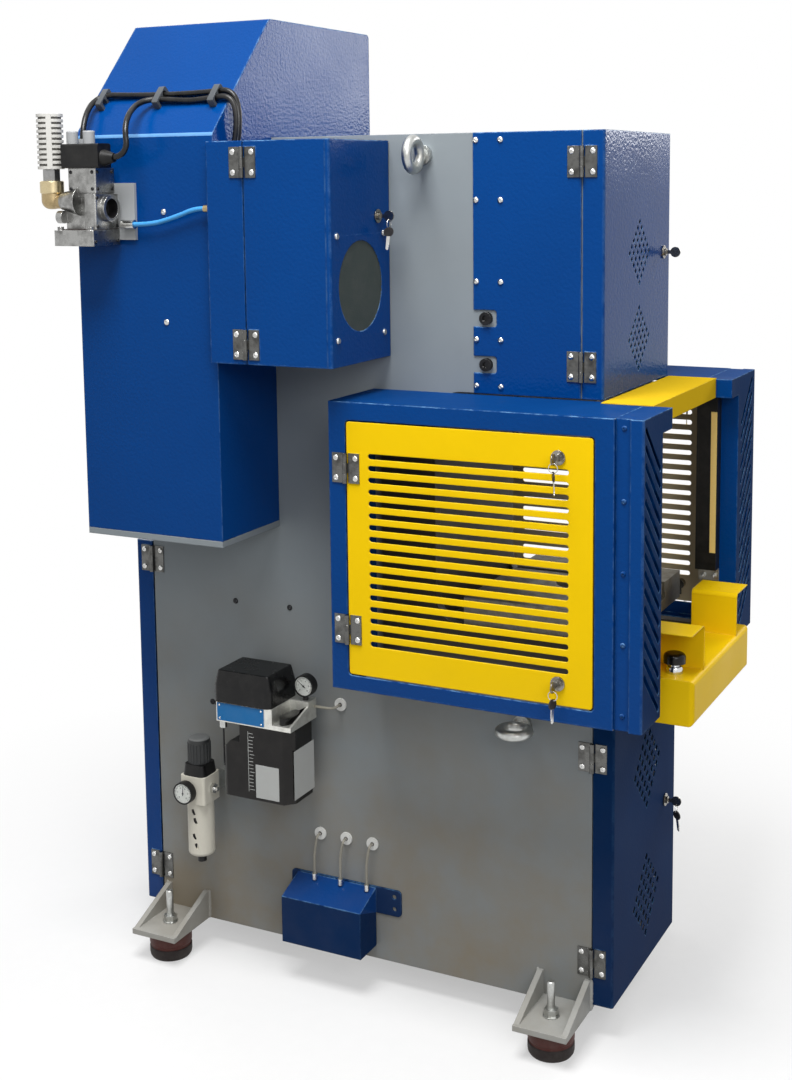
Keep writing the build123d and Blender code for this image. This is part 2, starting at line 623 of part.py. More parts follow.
def rear_cover():
    """The folded cover over the flywheel, with one sloped facet and an opening for the frame."""
    right = HALF + COVER_RIGHT
    corners = [(COVER_LEFT, STEP_HEIGHT), (COVER_LEFT, SHOULDER), (-HALF, COVER_TOP), (right, COVER_TOP)]
    face = make_face(Polyline(*corners, (right, STEP_HEIGHT), close=True))
    bends = [v for v in face.vertices() if v.Y > STEP_HEIGHT + 1]
    face = fillet(bends, 2 * BEND)
    deep = COVER_FRONT + COVER_BACK
    shell = extrude(Plane.XZ.offset(-COVER_BACK) * face, deep)
    inside = offset(face, -SHEET)
    shell -= extrude(Plane.XZ.offset(SHEET - COVER_BACK) * inside, deep - 2 * SHEET)
    rear = COVER_BACK - SHEET
    low, high = STEP_HEIGHT - 1, STEP_HEIGHT + 2 * SHEET
    shell -= block(COVER_LEFT + SHEET, right - SHEET, -COVER_FRONT + SHEET, rear, low, high)
    hole = HALF + GAP
    shell -= block(-hole, hole, -COVER_FRONT - 1, -COVER_FRONT + SHEET + 1, STEP_HEIGHT - 1, TOP_Z + GAP)
    return shell - rod(MOTOR_X, -COVER_FRONT - 1, MOTOR_Z, "y", MOTOR_SPIGOT_R + 2, SHEET + 2)


def cover_base():
    """The base that carries the rear cover on the frame."""
    low = STEP_HEIGHT - COVER_BASE
    right = HALF + COVER_RIGHT
    base = block(COVER_LEFT, -HALF, -COVER_FRONT, COVER_BACK, low, STEP_HEIGHT)
    base += block(-HALF, right, 0, COVER_BACK, low, STEP_HEIGHT)
    return base + block(HALF, right, -COVER_FRONT, COVER_BACK, low, STEP_HEIGHT)


def motor_box():
    """The fixed rear part of the motor's sheet box."""
    top = BOX_Z + BOX_TALL
    shell = block(BOX_LEFT, -HALF, -BOX_SEAM + 1, -COVER_FRONT, BOX_Z, top)
    shell -= block(BOX_LEFT + SHEET, -HALF + 1, -BOX_SEAM, -COVER_FRONT + 1, BOX_Z + SHEET, top - SHEET)
    shell += block(BOX_LEFT, COVER_LEFT, -COVER_FRONT - SHEET, -COVER_FRONT, BOX_Z, top)
    return shell


def motor_box_door():
    """The motor box's hinged front: a sheet with a bent edge and an air inlet, side and end sheets, filter plate."""
    top = BOX_Z + BOX_TALL
    right = -HALF - DOOR_GAP
    bent = 2 * BEND - BOX_FRONT
    inside = -BOX_FRONT + SHEET
    shell = block(BOX_LEFT, right, -BOX_FRONT, bent, BOX_Z, top)
    corner = shell.edges().filter_by(Axis.Z).sort_by(Axis.Y)[:2].sort_by(Axis.X)[0]
    front = fillet(corner, BEND)
    front -= block(BOX_LEFT + SHEET, right + 1, inside, bent + 1, BOX_Z - 1, top + 1)
    front -= rod(MOTOR_X, -BOX_FRONT - 1, MOTOR_Z, "y", INLET_R, SHEET + 2)
    x, y, z = motor_lock_place()
    front -= lock_hole(x, y - 1, z, "y", SHEET + 2)
    side = block(BOX_LEFT, BOX_LEFT + SHEET, bent, -BOX_SEAM - 1, BOX_Z, top)
    pieces = [front, side]
    for low in (BOX_Z, top - SHEET):
        pieces.append(block(BOX_LEFT + SHEET, right, inside, -BOX_SEAM - 1, low, low + SHEET))
    half = INLET_R + 12
    left, low = MOTOR_X - half, MOTOR_Z - half
    pieces.append(block(left, left + 2 * half, inside, inside + PANEL, low, low + 2 * half))
    for a in (-1, 1):
        for b in (-1, 1):
            x = MOTOR_X + a * (INLET_R + 7)
            z = MOTOR_Z + b * (INLET_R + 11)
            pieces.append(screw_head(x, -BOX_FRONT, z, "y", -4))
    return pieces


def motor_lock_place():
    return (MOTOR_X + 72, -BOX_FRONT, MOTOR_Z + 136)


def head_panel():
    """The left head panel with two round-cornered notches for the guide bolts."""
    rear = PANEL_DEPTH - HEAD_DEPTH
    panel = block(-SKIN, -HALF, 2 - HEAD_DEPTH, rear, HEAD_Z, TOP_Z)
    for z in guide_bolt_heights():
        notch = block(-SKIN - 1, -HALF + 1, guide_bolt_y() - 22, rear + 1, z - 17, z + 17)
        corners = notch.edges().filter_by(Axis.X).sort_by(Axis.Y)[:2]
        panel -= fillet(corners, NOTCH_CORNER)
    return panel


def head_door():
    """The upper front door with two groups of vents."""
    door = tray(-SKIN, SKIN, HEAD_DOOR_Y - DOOR_DEPTH, HEAD_DOOR_Y, HEAD_Z, TOP_Z, "rear")
    face = HEAD_DOOR_Y - DOOR_DEPTH
    for z in (HEAD_Z + 101, HEAD_Z + 277):
        door -= vents(5, z, face, VENT_ROWS, 124, 124, VENT_HOLE)
    x, y, z = head_lock_place()
    return door - lock_hole(x, y - 1, z, "y", SHEET + 2)


def head_lock_place():
    return (SKIN - 46, HEAD_DOOR_Y - DOOR_DEPTH, HEAD_Z + 270)


def lower_front_door():
    """The lower front door with two groups of vents."""
    face = LOWER_DOOR_Y - DOOR_DEPTH
    door = tray(-HALF, HALF, face, LOWER_DOOR_Y, LOWER_DOOR_LOW, LOWER_DOOR_TOP, "rear")
    for z in (LOWER_DOOR_LOW + 152, LOWER_DOOR_LOW + 440):
        door -= vents(8, z, face, VENT_ROWS, 160, 170, LOWER_VENT_HOLE)
    x, y, z = front_lock_place()
    return door - lock_hole(x, y - 1, z, "y", SHEET + 2)


def front_lock_place():
    return (HALF - 74, LOWER_DOOR_Y - DOOR_DEPTH, LOWER_DOOR_LOW + 318)


def rear_lower_door():
    """The lower rear door."""
    face = REAR_DOOR_Y + DOOR_DEPTH
    door = tray(-HALF, HALF, REAR_DOOR_Y, face, REAR_DOOR_LOW, REAR_DOOR_TOP, "front")
    x, y, z = rear_lock_place()
    return door - lock_hole(x, y - SHEET - 1, z, "y", SHEET + 2)


def rear_lock_place():
    return (HALF - 60, REAR_DOOR_Y + DOOR_DEPTH, (REAR_DOOR_LOW + REAR_DOOR_TOP) / 2)


def side_guard():
    """The left guard box: open towards the tools, with a door opening in its outer wall."""
    box = block(-GUARD_X, -HALF, UNIT_Y, GUARD_Y, GUARD_Z, GUARD_TOP)
    box -= block(-GUARD_X + SHEET, -HALF + 1, UNIT_Y - 1, GUARD_Y - SHEET, GUARD_Z + SHEET, GUARD_TOP - SHEET)
    box -= block(-GUARD_X + GUARD_LIP, -HALF + 1, UNIT_Y + GUARD_LIP, GUARD_Y - GUARD_LIP, GUARD_Z - 1,
                 GUARD_Z + SHEET + 1)
    box += block(-GUARD_X, -GUARD_X + UNIT_RECESS + SHEET, UNIT_Y, UNIT_Y + SHEET, GUARD_Z, GUARD_TOP)
    front = GRILLE_Y - GRILLE_WIDTH - DOOR_GAP
    opening = block(-GUARD_X - 1, -GUARD_X + SHEET + 1, front, GRILLE_Y + DOOR_GAP, GRILLE_Z - DOOR_GAP,
                    GRILLE_Z + GRILLE_TALL + DOOR_GAP)
    opening = fillet(opening.edges().filter_by(Axis.X), GRILLE_CORNER + DOOR_GAP)
    return box - opening


def grille():
    """The left grille door: a plate with rounded corners, level slots and two lock holes."""
    front = GRILLE_Y - GRILLE_WIDTH
    plate = block(-GUARD_X, -GUARD_X + PANEL, front, GRILLE_Y, GRILLE_Z, GRILLE_Z + GRILLE_TALL)
    plate = fillet(plate.edges().filter_by(Axis.X), GRILLE_CORNER)
    middle = GRILLE_Y - GRILLE_WIDTH / 2
    first = GRILLE_Z + GRILLE_TALL / 2 - GRILLE_PITCH * (GRILLE_SLOTS - 1) / 2
    slot = SlotOverall(GRILLE_SLOT_LENGTH, GRILLE_SLOT)
    slots = Sketch() + [Pos(middle, first + GRILLE_PITCH * k) * slot for k in range(GRILLE_SLOTS)]
    plate -= extrude(Plane.YZ.offset(-GUARD_X - 1) * slots, PANEL + 2)
    for x, y, z in grille_lock_places():
        plate -= lock_hole(x - 1, y, z, "x", PANEL + 2)
    return plate


def grille_lock_places():
    y = GRILLE_Y - GRILLE_WIDTH + 68
    return [(-GUARD_X, y, GRILLE_Z + 42), (-GUARD_X, y, GRILLE_Z + GRILLE_TALL - 40)]


def front_unit(outer, tab):
    """One front guard unit: a slotted face, a recessed strip for screws and a tab under the bridge."""
    way = 1 if tab > outer else -1
    edge = tab - way * TAB
    step = UNIT_Y - UNIT_FLANGE
    low_tab = GUARD_TOP - BRIDGE_LIP
    inset = way * UNIT_RECESS
    wall = way * SHEET
    shape = block(outer, edge, UNIT_FACE, step, GUARD_Z, GUARD_TOP)
    corner = shape.edges().filter_by(Axis.Z).sort_by(Axis.Y)[:2].sort_by(Axis.X)[0 if way > 0 else -1]
    shape = fillet(corner, BEND)
    shape += block(outer + inset, edge, step, UNIT_Y, GUARD_Z, GUARD_TOP)
    shape += block(edge, tab, UNIT_FACE, UNIT_Y, low_tab, GUARD_TOP)
    low, high = GUARD_Z + SHEET, GUARD_TOP - SHEET
    shape -= block(outer + wall, edge - wall, UNIT_FACE + SHEET, step - SHEET, low, high)
    shape -= block(outer + inset + wall, edge - wall, step - SHEET - 1, UNIT_Y + 1, low, high)
    shape -= block(edge - 2 * wall, tab - wall, UNIT_FACE + SHEET, UNIT_Y + 1, low_tab + SHEET, high)
    slot = Rot(0, 0, -45 * way) * SlotOverall(UNIT_SLOT_LENGTH, UNIT_SLOT)
    middle = (GUARD_Z + GUARD_TOP) / 2
    first = middle - UNIT_PITCH * (UNIT_SLOTS - 1) / 2
    slots = Sketch() + [Pos((outer + edge) / 2, first + UNIT_PITCH * k) * slot for k in range(UNIT_SLOTS)]
    return shape - extrude(Plane.XZ.offset(-UNIT_FACE - 2 * SHEET) * slots, 4 * SHEET)


def guard_bridge():
    """The top sheet across the tool opening, with a front lip that hangs between the units."""
    rear = HEAD_DOOR_Y - DOOR_DEPTH - DOOR_GAP
    left = -OPENING_LEFT - 2 * SHEET
    right = OPENING_RIGHT + 2 * SHEET
    front = UNIT_FACE + BRIDGE_SETBACK
    sheet = block(left, right, front, rear, GUARD_TOP, GUARD_TOP + SHEET)
    low = GUARD_TOP - BRIDGE_LIP
    high = GUARD_TOP + SHEET
    return sheet + block(-OPENING_LEFT + GAP, OPENING_RIGHT - GAP, front, front + SHEET, low, high)


def light_curtains():
    """Two light curtain bars on the units' inner walls, each with a strip that faces the other."""
    pieces = []
    top = GUARD_TOP - BRIDGE_LIP - 4
    front = UNIT_Y - 18
    for wall, way in ((-OPENING_LEFT - TAB, 1), (OPENING_RIGHT + TAB, -1)):
        face = wall + way * CURTAIN_WIDTH
        pieces.append(block(wall, face, front, front + CURTAIN_DEPTH, top - CURTAIN_LENGTH, top))
        strip = block(face, face + way * 1.5, front + 1, front + 14, top - CURTAIN_LENGTH + 40, top - 32)
        pieces.append(strip)
    return pieces


def console():
    """The two-hand console: a folded box with a shroud over each palm button."""
    left = CONSOLE_MID - CONSOLE_WIDTH / 2
    right = CONSOLE_MID + CONSOLE_WIDTH / 2
    box = block(left, right, CONSOLE_FACE, CONSOLE_Y, CONSOLE_LOW, CONSOLE_TOP)
    box = fillet(box.faces().sort_by(Axis.Y)[0].edges(), CONSOLE_BEND)
    low = CONSOLE_LOW + SHEET
    front, rear = CONSOLE_FACE + SHEET, CONSOLE_Y - SHEET
    hollow = block(left + SHEET, right - SHEET, front, rear, low, CONSOLE_TOP - SHEET)
    box -= fillet(hollow.faces().sort_by(Axis.Y)[0].edges(), CONSOLE_BEND - SHEET)
    box -= block(left + 15, right - 15, front + 13, rear - 13, CONSOLE_LOW - 1, low + 1)
    roof_z = CONSOLE_TOP + SHROUD_TALL
    for outer, way in ((left, 1), (right, -1)):
        inner = outer + way * SHROUD_WIDTH
        shroud = block(outer, inner, CONSOLE_FACE + 4, CONSOLE_Y, CONSOLE_TOP - SHEET, roof_z)
        ridge = shroud.faces().sort_by(Axis.Z)[-1].edges()
        shroud = fillet(ridge.filter_by(Axis.Y).sort_by(Axis.X)[-1 if way > 0 else 0], 2 * BEND)
        low = CONSOLE_TOP - 2 * SHEET
        shroud -= block(outer - way, inner - way * SHEET, CONSOLE_FACE, rear, low, roof_z - SHEET)
        box += shroud
    for x in button_places():
        box -= rod(x, BUTTON_Y, CONSOLE_TOP - SHEET - 1, "z", BUTTON_STEM_R + CLEAR, SHEET + 2)
    return box


def button_places():
    """X of the two palm buttons, in the middle of their shrouds."""
    reach = CONSOLE_WIDTH / 2 - SHROUD_WIDTH / 2
    return [CONSOLE_MID - reach, CONSOLE_MID + reach]


def button_collar(x):
    """The metal collar around a palm button's stem."""
    return ring(x, BUTTON_Y, CONSOLE_TOP, "z", BUTTON_STEM_R + 6, BUTTON_STEM_R + RUN, COLLAR_TALL)


def palm_button(x):
    """A mushroom button with its stem."""
    low = CONSOLE_TOP + COLLAR_TALL + BUTTON_TRAVEL + CLEAR
    head = rod(x, BUTTON_Y, low, "z", BUTTON_R, 20)
    head = fillet(head.edges().sort_by(Axis.Z)[-1], 9)
    return head + rod(x, BUTTON_Y, CONSOLE_TOP - 20, "z", BUTTON_STEM_R, low - CONSOLE_TOP + 21)


def foot_places():
    """X, side and Y of the four feet's studs."""
    front = BRACKET_WIDTH / 2 + BRACKET_SETBACK - LOWER_DEPTH
    rear = -BRACKET_WIDTH / 2 - BRACKET_INSET
    return [(side, y) for side in (-1, 1) for y in (front, rear)]


def foot_bracket(side, y):
    """A welded foot: a base plate with two triangular gussets."""
    wall = side * HALF
    end = side * (HALF + BRACKET_REACH)
    low = FOOT_GAP
    base = block(wall, end, y - BRACKET_WIDTH / 2, y + BRACKET_WIDTH / 2, low, low + BRACKET_BASE)
    foot, top = low + BRACKET_BASE, low + BRACKET_TALL
    corners = [(wall, foot), (end - side * 8, foot), (wall + side * 8, top), (wall, top)]
    gusset = make_face(Polyline(*corners, close=True))
    for start in (y - BRACKET_WIDTH / 2, y + BRACKET_WIDTH / 2 - BRACKET_BASE):
        base += extrude(Plane.XZ.offset(-start - BRACKET_BASE) * gusset, BRACKET_BASE)
    return base - rod(side * (HALF + STUD_OUT), y, low - 1, "z", STUD_R + CLEAR, BRACKET_BASE + 2)


def foot_stud(side, y):
    """A levelling stud with its nut on the bracket."""
    x = side * (HALF + STUD_OUT)
    low = FOOT_GAP + BRACKET_BASE
    stud = rod(x, y, FOOT_GAP / 2, "z", STUD_R, low + STUD_TALL - FOOT_GAP / 2)
    stud = chamfer(stud.edges().sort_by(Axis.Z)[-1], 2)
    return stud + rod(x, y, low, "z", 17, 2.5) + hex_head(x, y, low + 2.5, "z", 26, 14)


def rubber_foot(side, y):
    """A rubber mount that the bracket stands on."""
    x = side * (HALF + STUD_OUT)
    foot = rod(x, y, 0, "z", RUBBER_R, FOOT_GAP)
    foot = fillet(foot.edges().filter_by(GeomType.CIRCLE), 4)
    return foot - rod(x, y, FOOT_GAP / 2 - 1, "z", STUD_R + RUN, FOOT_GAP)


def lifting_eye(y, z, turn):
    """An eye bolt in the left plate, its ring turned out of level by some degrees."""
    eye = rod(-HALF, y, z, "x", 20, -10)
    eye += rod(-HALF - 10, y, z, "x", 13, EYE_R + 14 - EYE_STAND)
    eye += Pos(-HALF - EYE_STAND, y, z) * Rot(turn, 0, 0) * Torus(EYE_R, EYE_WIRE_R)
    return eye + rod(-HALF, y, z, "x", STUD_R, PLATE - 1)


def valve_frame():
    """The valve's body on the cover's left wall: X of its outer face, front Y and rear Y."""
    rear = -10.0
    return COVER_LEFT - VALVE_PLATE - VALVE_WIDE, rear - VALVE_LENGTH, rear


def valve_block():
    """The double safety valve: a base plate, a stepped body with a round port, a hub for the elbow and screws."""
    outer, front, rear = valve_frame()
    inner = COVER_LEFT - VALVE_PLATE
    low = VALVE_LOW
    step = low + VALVE_BASE
    joint = low + VALVE_JOINT
    plate = block(inner, COVER_LEFT, front - 39, rear + 8, low + 10, low + 126)
    body = block(outer, inner, front, rear, low, step)
    body = fillet(body.edges().filter_by(Axis.Z).sort_by(Axis.X)[:2], 4)
    module = block(outer + 13, inner, front + 2, front + 32, step, joint)
    body += fillet(module.edges().filter_by(Axis.Z).sort_by(Axis.X)[:2], 5)
    body += block(outer + 38, inner, front + 32, rear - 4, step, joint - 4)
    body += block(outer + 30, inner, front + 14, rear - 24, joint - 5, joint + 4)
    upper = block(outer + 26, inner, front + 10, rear - 20, joint + 3, low + VALVE_TALL)
    body += fillet(upper.edges().filter_by(Axis.Z).sort_by(Axis.X)[:2], 4)
    x, y, z = elbow_centre()
    hub = Cone(30, 18, 46, align=(Align.CENTER, Align.CENTER, Align.MIN))
    body += Plane(origin=(x, rear - 44, z), z_dir=(0, 1, 0)) * hub
    body += rod(outer + 30, rear - 6, low + 58, "y", 13, 14)
    body += rod(inner - 34, front + 2, low + 75, "y", 27, -10)
    body -= rod(inner - 34, front - 9, low + 75, "y", 20, 24)
    for y in (front + 12, rear - 12):
        body += rod(outer + 8, y, step, "z", 6.5, 7)
        body -= hex_head(outer + 8, y, step + 3, "z", 5, 5)
    return [plate, body]


def plug_boxes():
    """X, Y and Z ranges of the two solenoid plugs on the valve."""
    outer, front, rear = valve_frame()
    low = VALVE_LOW + VALVE_TALL
    first = (outer + 13, outer + 56, front - 8, rear - 15, low, low + 49)
    second = (outer + 59, outer + 87, rear - 54, rear - 1, low, low + 46)
    return first, second


def solenoid_plugs():
    """Two plugs on the valve: a long one with two caps and a front sleeve, a short one with a gland on top."""
    first, second = plug_boxes()
    pieces = []
    plug = block(*first)
    pieces.append(fillet(plug.edges().filter_by(Axis.Y), 5))
    x = (first[0] + first[1]) / 2
    for y in (first[3] - 14, first[3] - 56):
        cap = rod(x, y, first[5], "z", 12, 26)
        pieces.append(fillet(cap.edges().sort_by(Axis.Z)[-1], 3))
    boot = Cone(17, CABLE_R + 3, BOOT, align=(Align.CENTER, Align.CENTER, Align.MIN))
    boot -= Cylinder(CABLE_R + RUN, BOOT, align=(Align.CENTER, Align.CENTER, Align.MIN))
    pieces.append(Plane(origin=(x, first[2], first[4] + 20), z_dir=(0, -1, 0)) * boot)
    plug = block(*second)
    pieces.append(fillet(plug.edges().filter_by(Axis.Z), 4))
    pieces.append(ring((second[0] + second[1]) / 2, second[3] - 24, second[5], "z", 11, CABLE_R + RUN, 14))
    return pieces


def facet_point(share, y, lift):
    """A point over the cover's sloped facet: share of the way up, Y and height above the sheet."""
    run_x, run_z = -HALF - COVER_LEFT, COVER_TOP - SHOULDER
    length = hypot(run_x, run_z)
    x = COVER_LEFT + share * run_x - lift * run_z / length
    return (x, y, SHOULDER + share * run_z + lift * run_x / length)


def solenoid_cables():
    """Two cables from the plugs, over the sloped facet and down to the motor box."""
    first, second = plug_boxes()
    lift = CABLE_R + 0.5
    down_y = -COVER_FRONT - 14
    half = CABLE_SPACING / 2 / hypot(-HALF - COVER_LEFT, COVER_TOP - SHOULDER)
    x = (second[0] + second[1]) / 2
    y = second[3] - 24
    z = second[5] + RUN
    rear_route = [(x, y, z), (x, y, z + 42), facet_point(CLIP_RISE + half, -2, lift)]
    rear_route += cable_end(CLIP_RISE + half, down_y, lift)
    x = (first[0] + first[1]) / 2
    y = first[2] - RUN
    z = first[4] + 20
    front_route = [(x, y, z), (x, y - 48, z), (x + 14, y - 48, z + 64)]
    front_route.append(facet_point(CLIP_RISE - half, y - 18, lift))
    front_route += cable_end(CLIP_RISE - half, down_y, lift)
    return [tube(rear_route, CABLE_R, [26, 14, 18]), tube(front_route, CABLE_R, [22, 30, 14, 18])]


def cable_end(share, y, lift):
    """The last two points of a cable: over the cover's front edge and down on the motor box."""
    over = facet_point(share, y, lift)
    return [over, (over[0], y, BOX_Z + BOX_TALL)]


def clip_places():
    """Y of the three cable clips."""
    return [-28.0, -172.0, -308.0]


def cable_clips():
    """Saddles that hold both cables on the sloped facet."""
    normal = Vector(*facet_point(0, 0, 1)) - Vector(*facet_point(0, 0, 0))
    tall = 2 * CABLE_R + 3
    pieces = []
    for y in clip_places():
        place = Plane(origin=facet_point(CLIP_RISE, y, 0), x_dir=(0, 1, 0), z_dir=normal)
        saddle = Box(14, 2 * CABLE_SPACING + 10, tall, align=(Align.CENTER, Align.CENTER, Align.MIN))
        saddle = fillet(saddle.edges().filter_by(Axis.X).sort_by(Axis.Z)[-2:], 4)
        for across in (-CABLE_SPACING / 2, CABLE_SPACING / 2):
            saddle -= Pos(0, across, CABLE_R + 0.5) * Rot(0, 90, 0) * Cylinder(CABLE_R + CLEAR, 30)
        pieces.append(place * saddle)
    return pieces


def silencer():
    """The finned exhaust silencer on its hexagon neck, with a flat rib down its side."""
    x, y, low = elbow_top()
    foot = low + NECK
    fin = 6.0
    pitch = (SILENCER_TALL - fin) / (SILENCER_FINS - 1)
    body = hex_head(x, y, low, "z", 30, NECK) + rod(x, y, foot, "z", SILENCER_R - 7, SILENCER_TALL)
    for k in range(SILENCER_FINS):
        body += rod(x, y, foot + pitch * k, "z", SILENCER_R, fin)
    rib = Pos(SILENCER_R / 2, 0, SILENCER_TALL / 2) * Box(SILENCER_R, 11, SILENCER_TALL)
    return body + Pos(x, y, foot) * Rot(0, 0, 214) * rib


def elbow_top():
    """The top of the brass elbow behind the valve."""
    outer, front, rear = valve_frame()
    return outer + 38, rear + 31, VALVE_LOW + VALVE_TALL - NECK - 1


def elbow_centre():
    """Where the elbow's two legs meet."""
    x, y, top = elbow_top()
    return x, y, top - UNION - 16


def hose_route():
    """The air hose from the valve's plate to the motor box."""
    outer, front, rear = valve_frame()
    x = COVER_LEFT - VALVE_PLATE - HOSE_R - 4
    z = VALVE_LOW + 42
    end = 12 - COVER_FRONT
    start = [(x, front - 45, z), (x, front - 88, z), (x, front - 146, z + 15)]
    return start + [(x, end + 22, z + 32), (x, end, z + 32)]


def brass_fittings():
    """The exhaust elbow and the two hose fittings."""
    x, y, z = elbow_centre()
    outer, front, rear = valve_frame()
    elbow = rod(x, y, z - 16, "z", 22, 33)
    elbow = fillet(elbow.edges().sort_by(Axis.Z)[0], 18)
    union = rod(x, y, z + 16, "z", 24.5, UNION)
    elbow += chamfer(union.edges().filter_by(GeomType.CIRCLE), 2)
    elbow += rod(x, rear + 2, z, "y", 15, y - rear - 2)
    start, end = hose_route()[0], hose_route()[-1]
    first = rod(*start, "y", HOSE_R + 3.9, 32)
    last = rod(*end, "y", HOSE_R + 2, -COVER_FRONT - end[1])
    return [elbow, first, last]


def regulator():
    """The filter regulator: body with an air port, bracket, bonnet, bowl with slots, drain and a port plug."""
    x = -HALF - REGULATOR_OUT
    y = -REGULATOR_BACK
    low = REGULATOR_LOW
    top = low + REGULATOR_TALL
    half = REGULATOR_HALF
    middle = low + REGULATOR_TALL / 2
    body = block(x - half, x + half, y - half, y + half, low, top)
    body = fillet(body.edges().filter_by(Axis.Z), 6)
    body -= rod(x, y + half + 1, middle, "y", PORT_R, -17)
    bracket = block(-HALF, x + half, y - 22, y + 22, low + 12, top - 14)
    outline = RectangleRounded(2 * half - 4, 2 * half - 4, 14)
    bonnet = extrude(Plane.XY.offset(top) * Pos(x, y) * outline, BONNET, taper=BONNET_LEAN)
    bowl = rod(x, y, low, "z", BOWL_R, -BOWL_DROP)
    bowl = fillet(bowl.edges().sort_by(Axis.Z)[0], 9)
    slot = Pos(BOWL_R, 0, 0) * Rot(20, 0, 0) * Box(6, 7, 14)
    for side in (180, 0):
        for drop, swing in ((20, 0), (40, 8), (77, 2), (99, 12)):
            bowl -= Pos(x, y, low - drop) * Rot(0, 0, side + swing) * slot
    drain = rod(x, y, low - BOWL_DROP, "z", 10, -18)
    plug = hex_head(x, y - half, middle, "y", 20, -8) + rod(x, y - half - 8, middle, "y", 5, -8)
    return [body, bracket, bonnet, bowl, drain, plug]


def regulator_knob():
    """The pressure knob with a ribbed rim."""
    x = -HALF - REGULATOR_OUT
    low = REGULATOR_LOW + REGULATOR_TALL + BONNET + CLEAR
    knob = rod(x, -REGULATOR_BACK, low, "z", KNOB_R, KNOB_TALL)
    knob = fillet(knob.edges().sort_by(Axis.Z)[-1], 5)
    ribs = 20
    for k in range(ribs):
        rib = Pos(KNOB_R, 0, KNOB_TALL / 2 - 4) * Cylinder(1.8, KNOB_TALL - 16)
        knob += Pos(x, -REGULATOR_BACK, low) * Rot(0, 0, 360 * k / ribs) * rib
    return knob


def gauges():
    """Pressure gauges of the regulator and of the pump, each on its stem."""
    x = -HALF - REGULATOR_OUT - REGULATOR_HALF
    y = 11 - REGULATOR_BACK
    z = REGULATOR_LOW + 30
    first = rod(x, y, z, "x", 6, -5) + rod(x - 5, y, z, "x", 25, -17)
    first -= rod(x - 20, y, z, "x", 22, -3)
    x = -HALF - 38
    y = 14 - PUMP_BACK - PUMP_WIDTH
    head_top = PUMP_LOW + PUMP_TANK + PUMP_HEAD
    z = head_top + 32
    second = rod(x, y, z, "x", 24, -20) + rod(x - 10, y, z, "z", 6, head_top - z)
    second -= rod(x - 18, y, z, "x", 21, -3)
    return [first, second]


def pump_reservoir():
    """The pump's oil reservoir: a tall tank with bevelled corners and a lower housing on its left."""
    x0 = -HALF - PUMP_OUT
    x1 = -HALF - PUMP_IN
    front = 1 - PUMP_BACK - PUMP_WIDTH
    middle = -PUMP_BACK - 58
    tank = block(x0, x1, front, middle, PUMP_LOW, PUMP_LOW + PUMP_TANK)
    tank = chamfer(tank.edges().filter_by(Axis.Z).sort_by(Axis.Y)[:2], 20)
    housing = block(x0, x1, middle, -PUMP_BACK - 16, PUMP_LOW, PUMP_LOW + 124)
    ridge = housing.edges().filter_by(Axis.X).sort_by(Axis.Z)[-2:].sort_by(Axis.Y)[-1]
    housing = chamfer(ridge, 18)
    housing = fillet(housing.edges().filter_by(Axis.Z).sort_by(Axis.Y)[-2:], 10)
    return tank + housing


def pump_head():
    """The pump's head plate with its front band, filler cap, a side pin and the wall block."""
    x0 = -HALF - PUMP_OUT
    x1 = -HALF - PUMP_IN
    low = PUMP_LOW + PUMP_TANK
    top = low + PUMP_HEAD
    front = -PUMP_BACK - PUMP_WIDTH
    step = -PUMP_BACK - 140
    head = block(x0, x1, front, -PUMP_BACK, low, top)
    head -= block(x0 - 1, x1 + 1, front - 1, step, low + 10, top + 1)
    wedge = make_face(Polyline((x0, low + 10), (x1, low + 10), (x1, top), close=True))
    head += extrude(Plane.XZ.offset(-front - 5) * wedge, 5)
    head += block(x1 - 34, x1, front, step, low + 10, top)
    head += block(x1, -HALF, step, -PUMP_BACK - 30, low + 4, top - 4)
    band = block(x0 - 1.5, x0, -PUMP_BACK - 120, -PUMP_BACK - 3, low + 3, top - 2)
    oval = extrude(Ellipse(34, 15), 14)
    filler = Pos(x0 + 40, -PUMP_BACK - 160, low + 10) * oval
    pin = rod(x0 + 12, -PUMP_BACK, low + 36, "y", 6, 8)
    return [head, band, filler, pin]


def pump_lid():
    """The pump's motor cover: an upright skirt and a leaning upper part with a flat top."""
    low = PUMP_LOW + PUMP_TANK + PUMP_HEAD
    left, right = -HALF - PUMP_OUT - 4, -HALF - PUMP_IN + 4
    front, rear = -PUMP_BACK - 138, -PUMP_BACK + 6
    outline = Pos((left + right) / 2, (front + rear) / 2) * RectangleRounded(right - left, rear - front, 14)
    lid = extrude(Plane.XY.offset(low) * outline, LID_SKIRT)
    lid += extrude(Plane.XY.offset(low + LID_SKIRT) * outline, LID_TALL - LID_SKIRT, taper=LID_LEAN)
    return fillet(lid.faces().sort_by(Axis.Z)[-1].edges(), 4)


def manifold_box():
    """The lubricator's sheet box with a sloped lid and a back plate with two ears."""
    y0 = -MANIFOLD_START - MANIFOLD_WIDTH
    low = MANIFOLD_LOW
    outer = -HALF - MANIFOLD_OUT
    top = low + MANIFOLD_TALL
    corners = [(-SKIN, low), (outer, low), (outer, top - MANIFOLD_FALL), (-SKIN, top)]
    face = make_face(Polyline(*corners, close=True))
    box = extrude(Plane.XZ.offset(MANIFOLD_START) * face, MANIFOLD_WIDTH)
    ears = block(-SKIN, -HALF, y0 - 62, -MANIFOLD_START + 16, low + 76, low + 136)
    ears = fillet(ears.edges().filter_by(Axis.X), 10)
    for z in (low + 92, low + 120):
        ears -= rod(-SKIN - 1, y0 - 45, z, "x", 5, PANEL + 2)
    box += ears
    screw = rod(-HALF - 40, -MANIFOLD_START, low + 80, "y", 6, 5)
    return [box, screw]


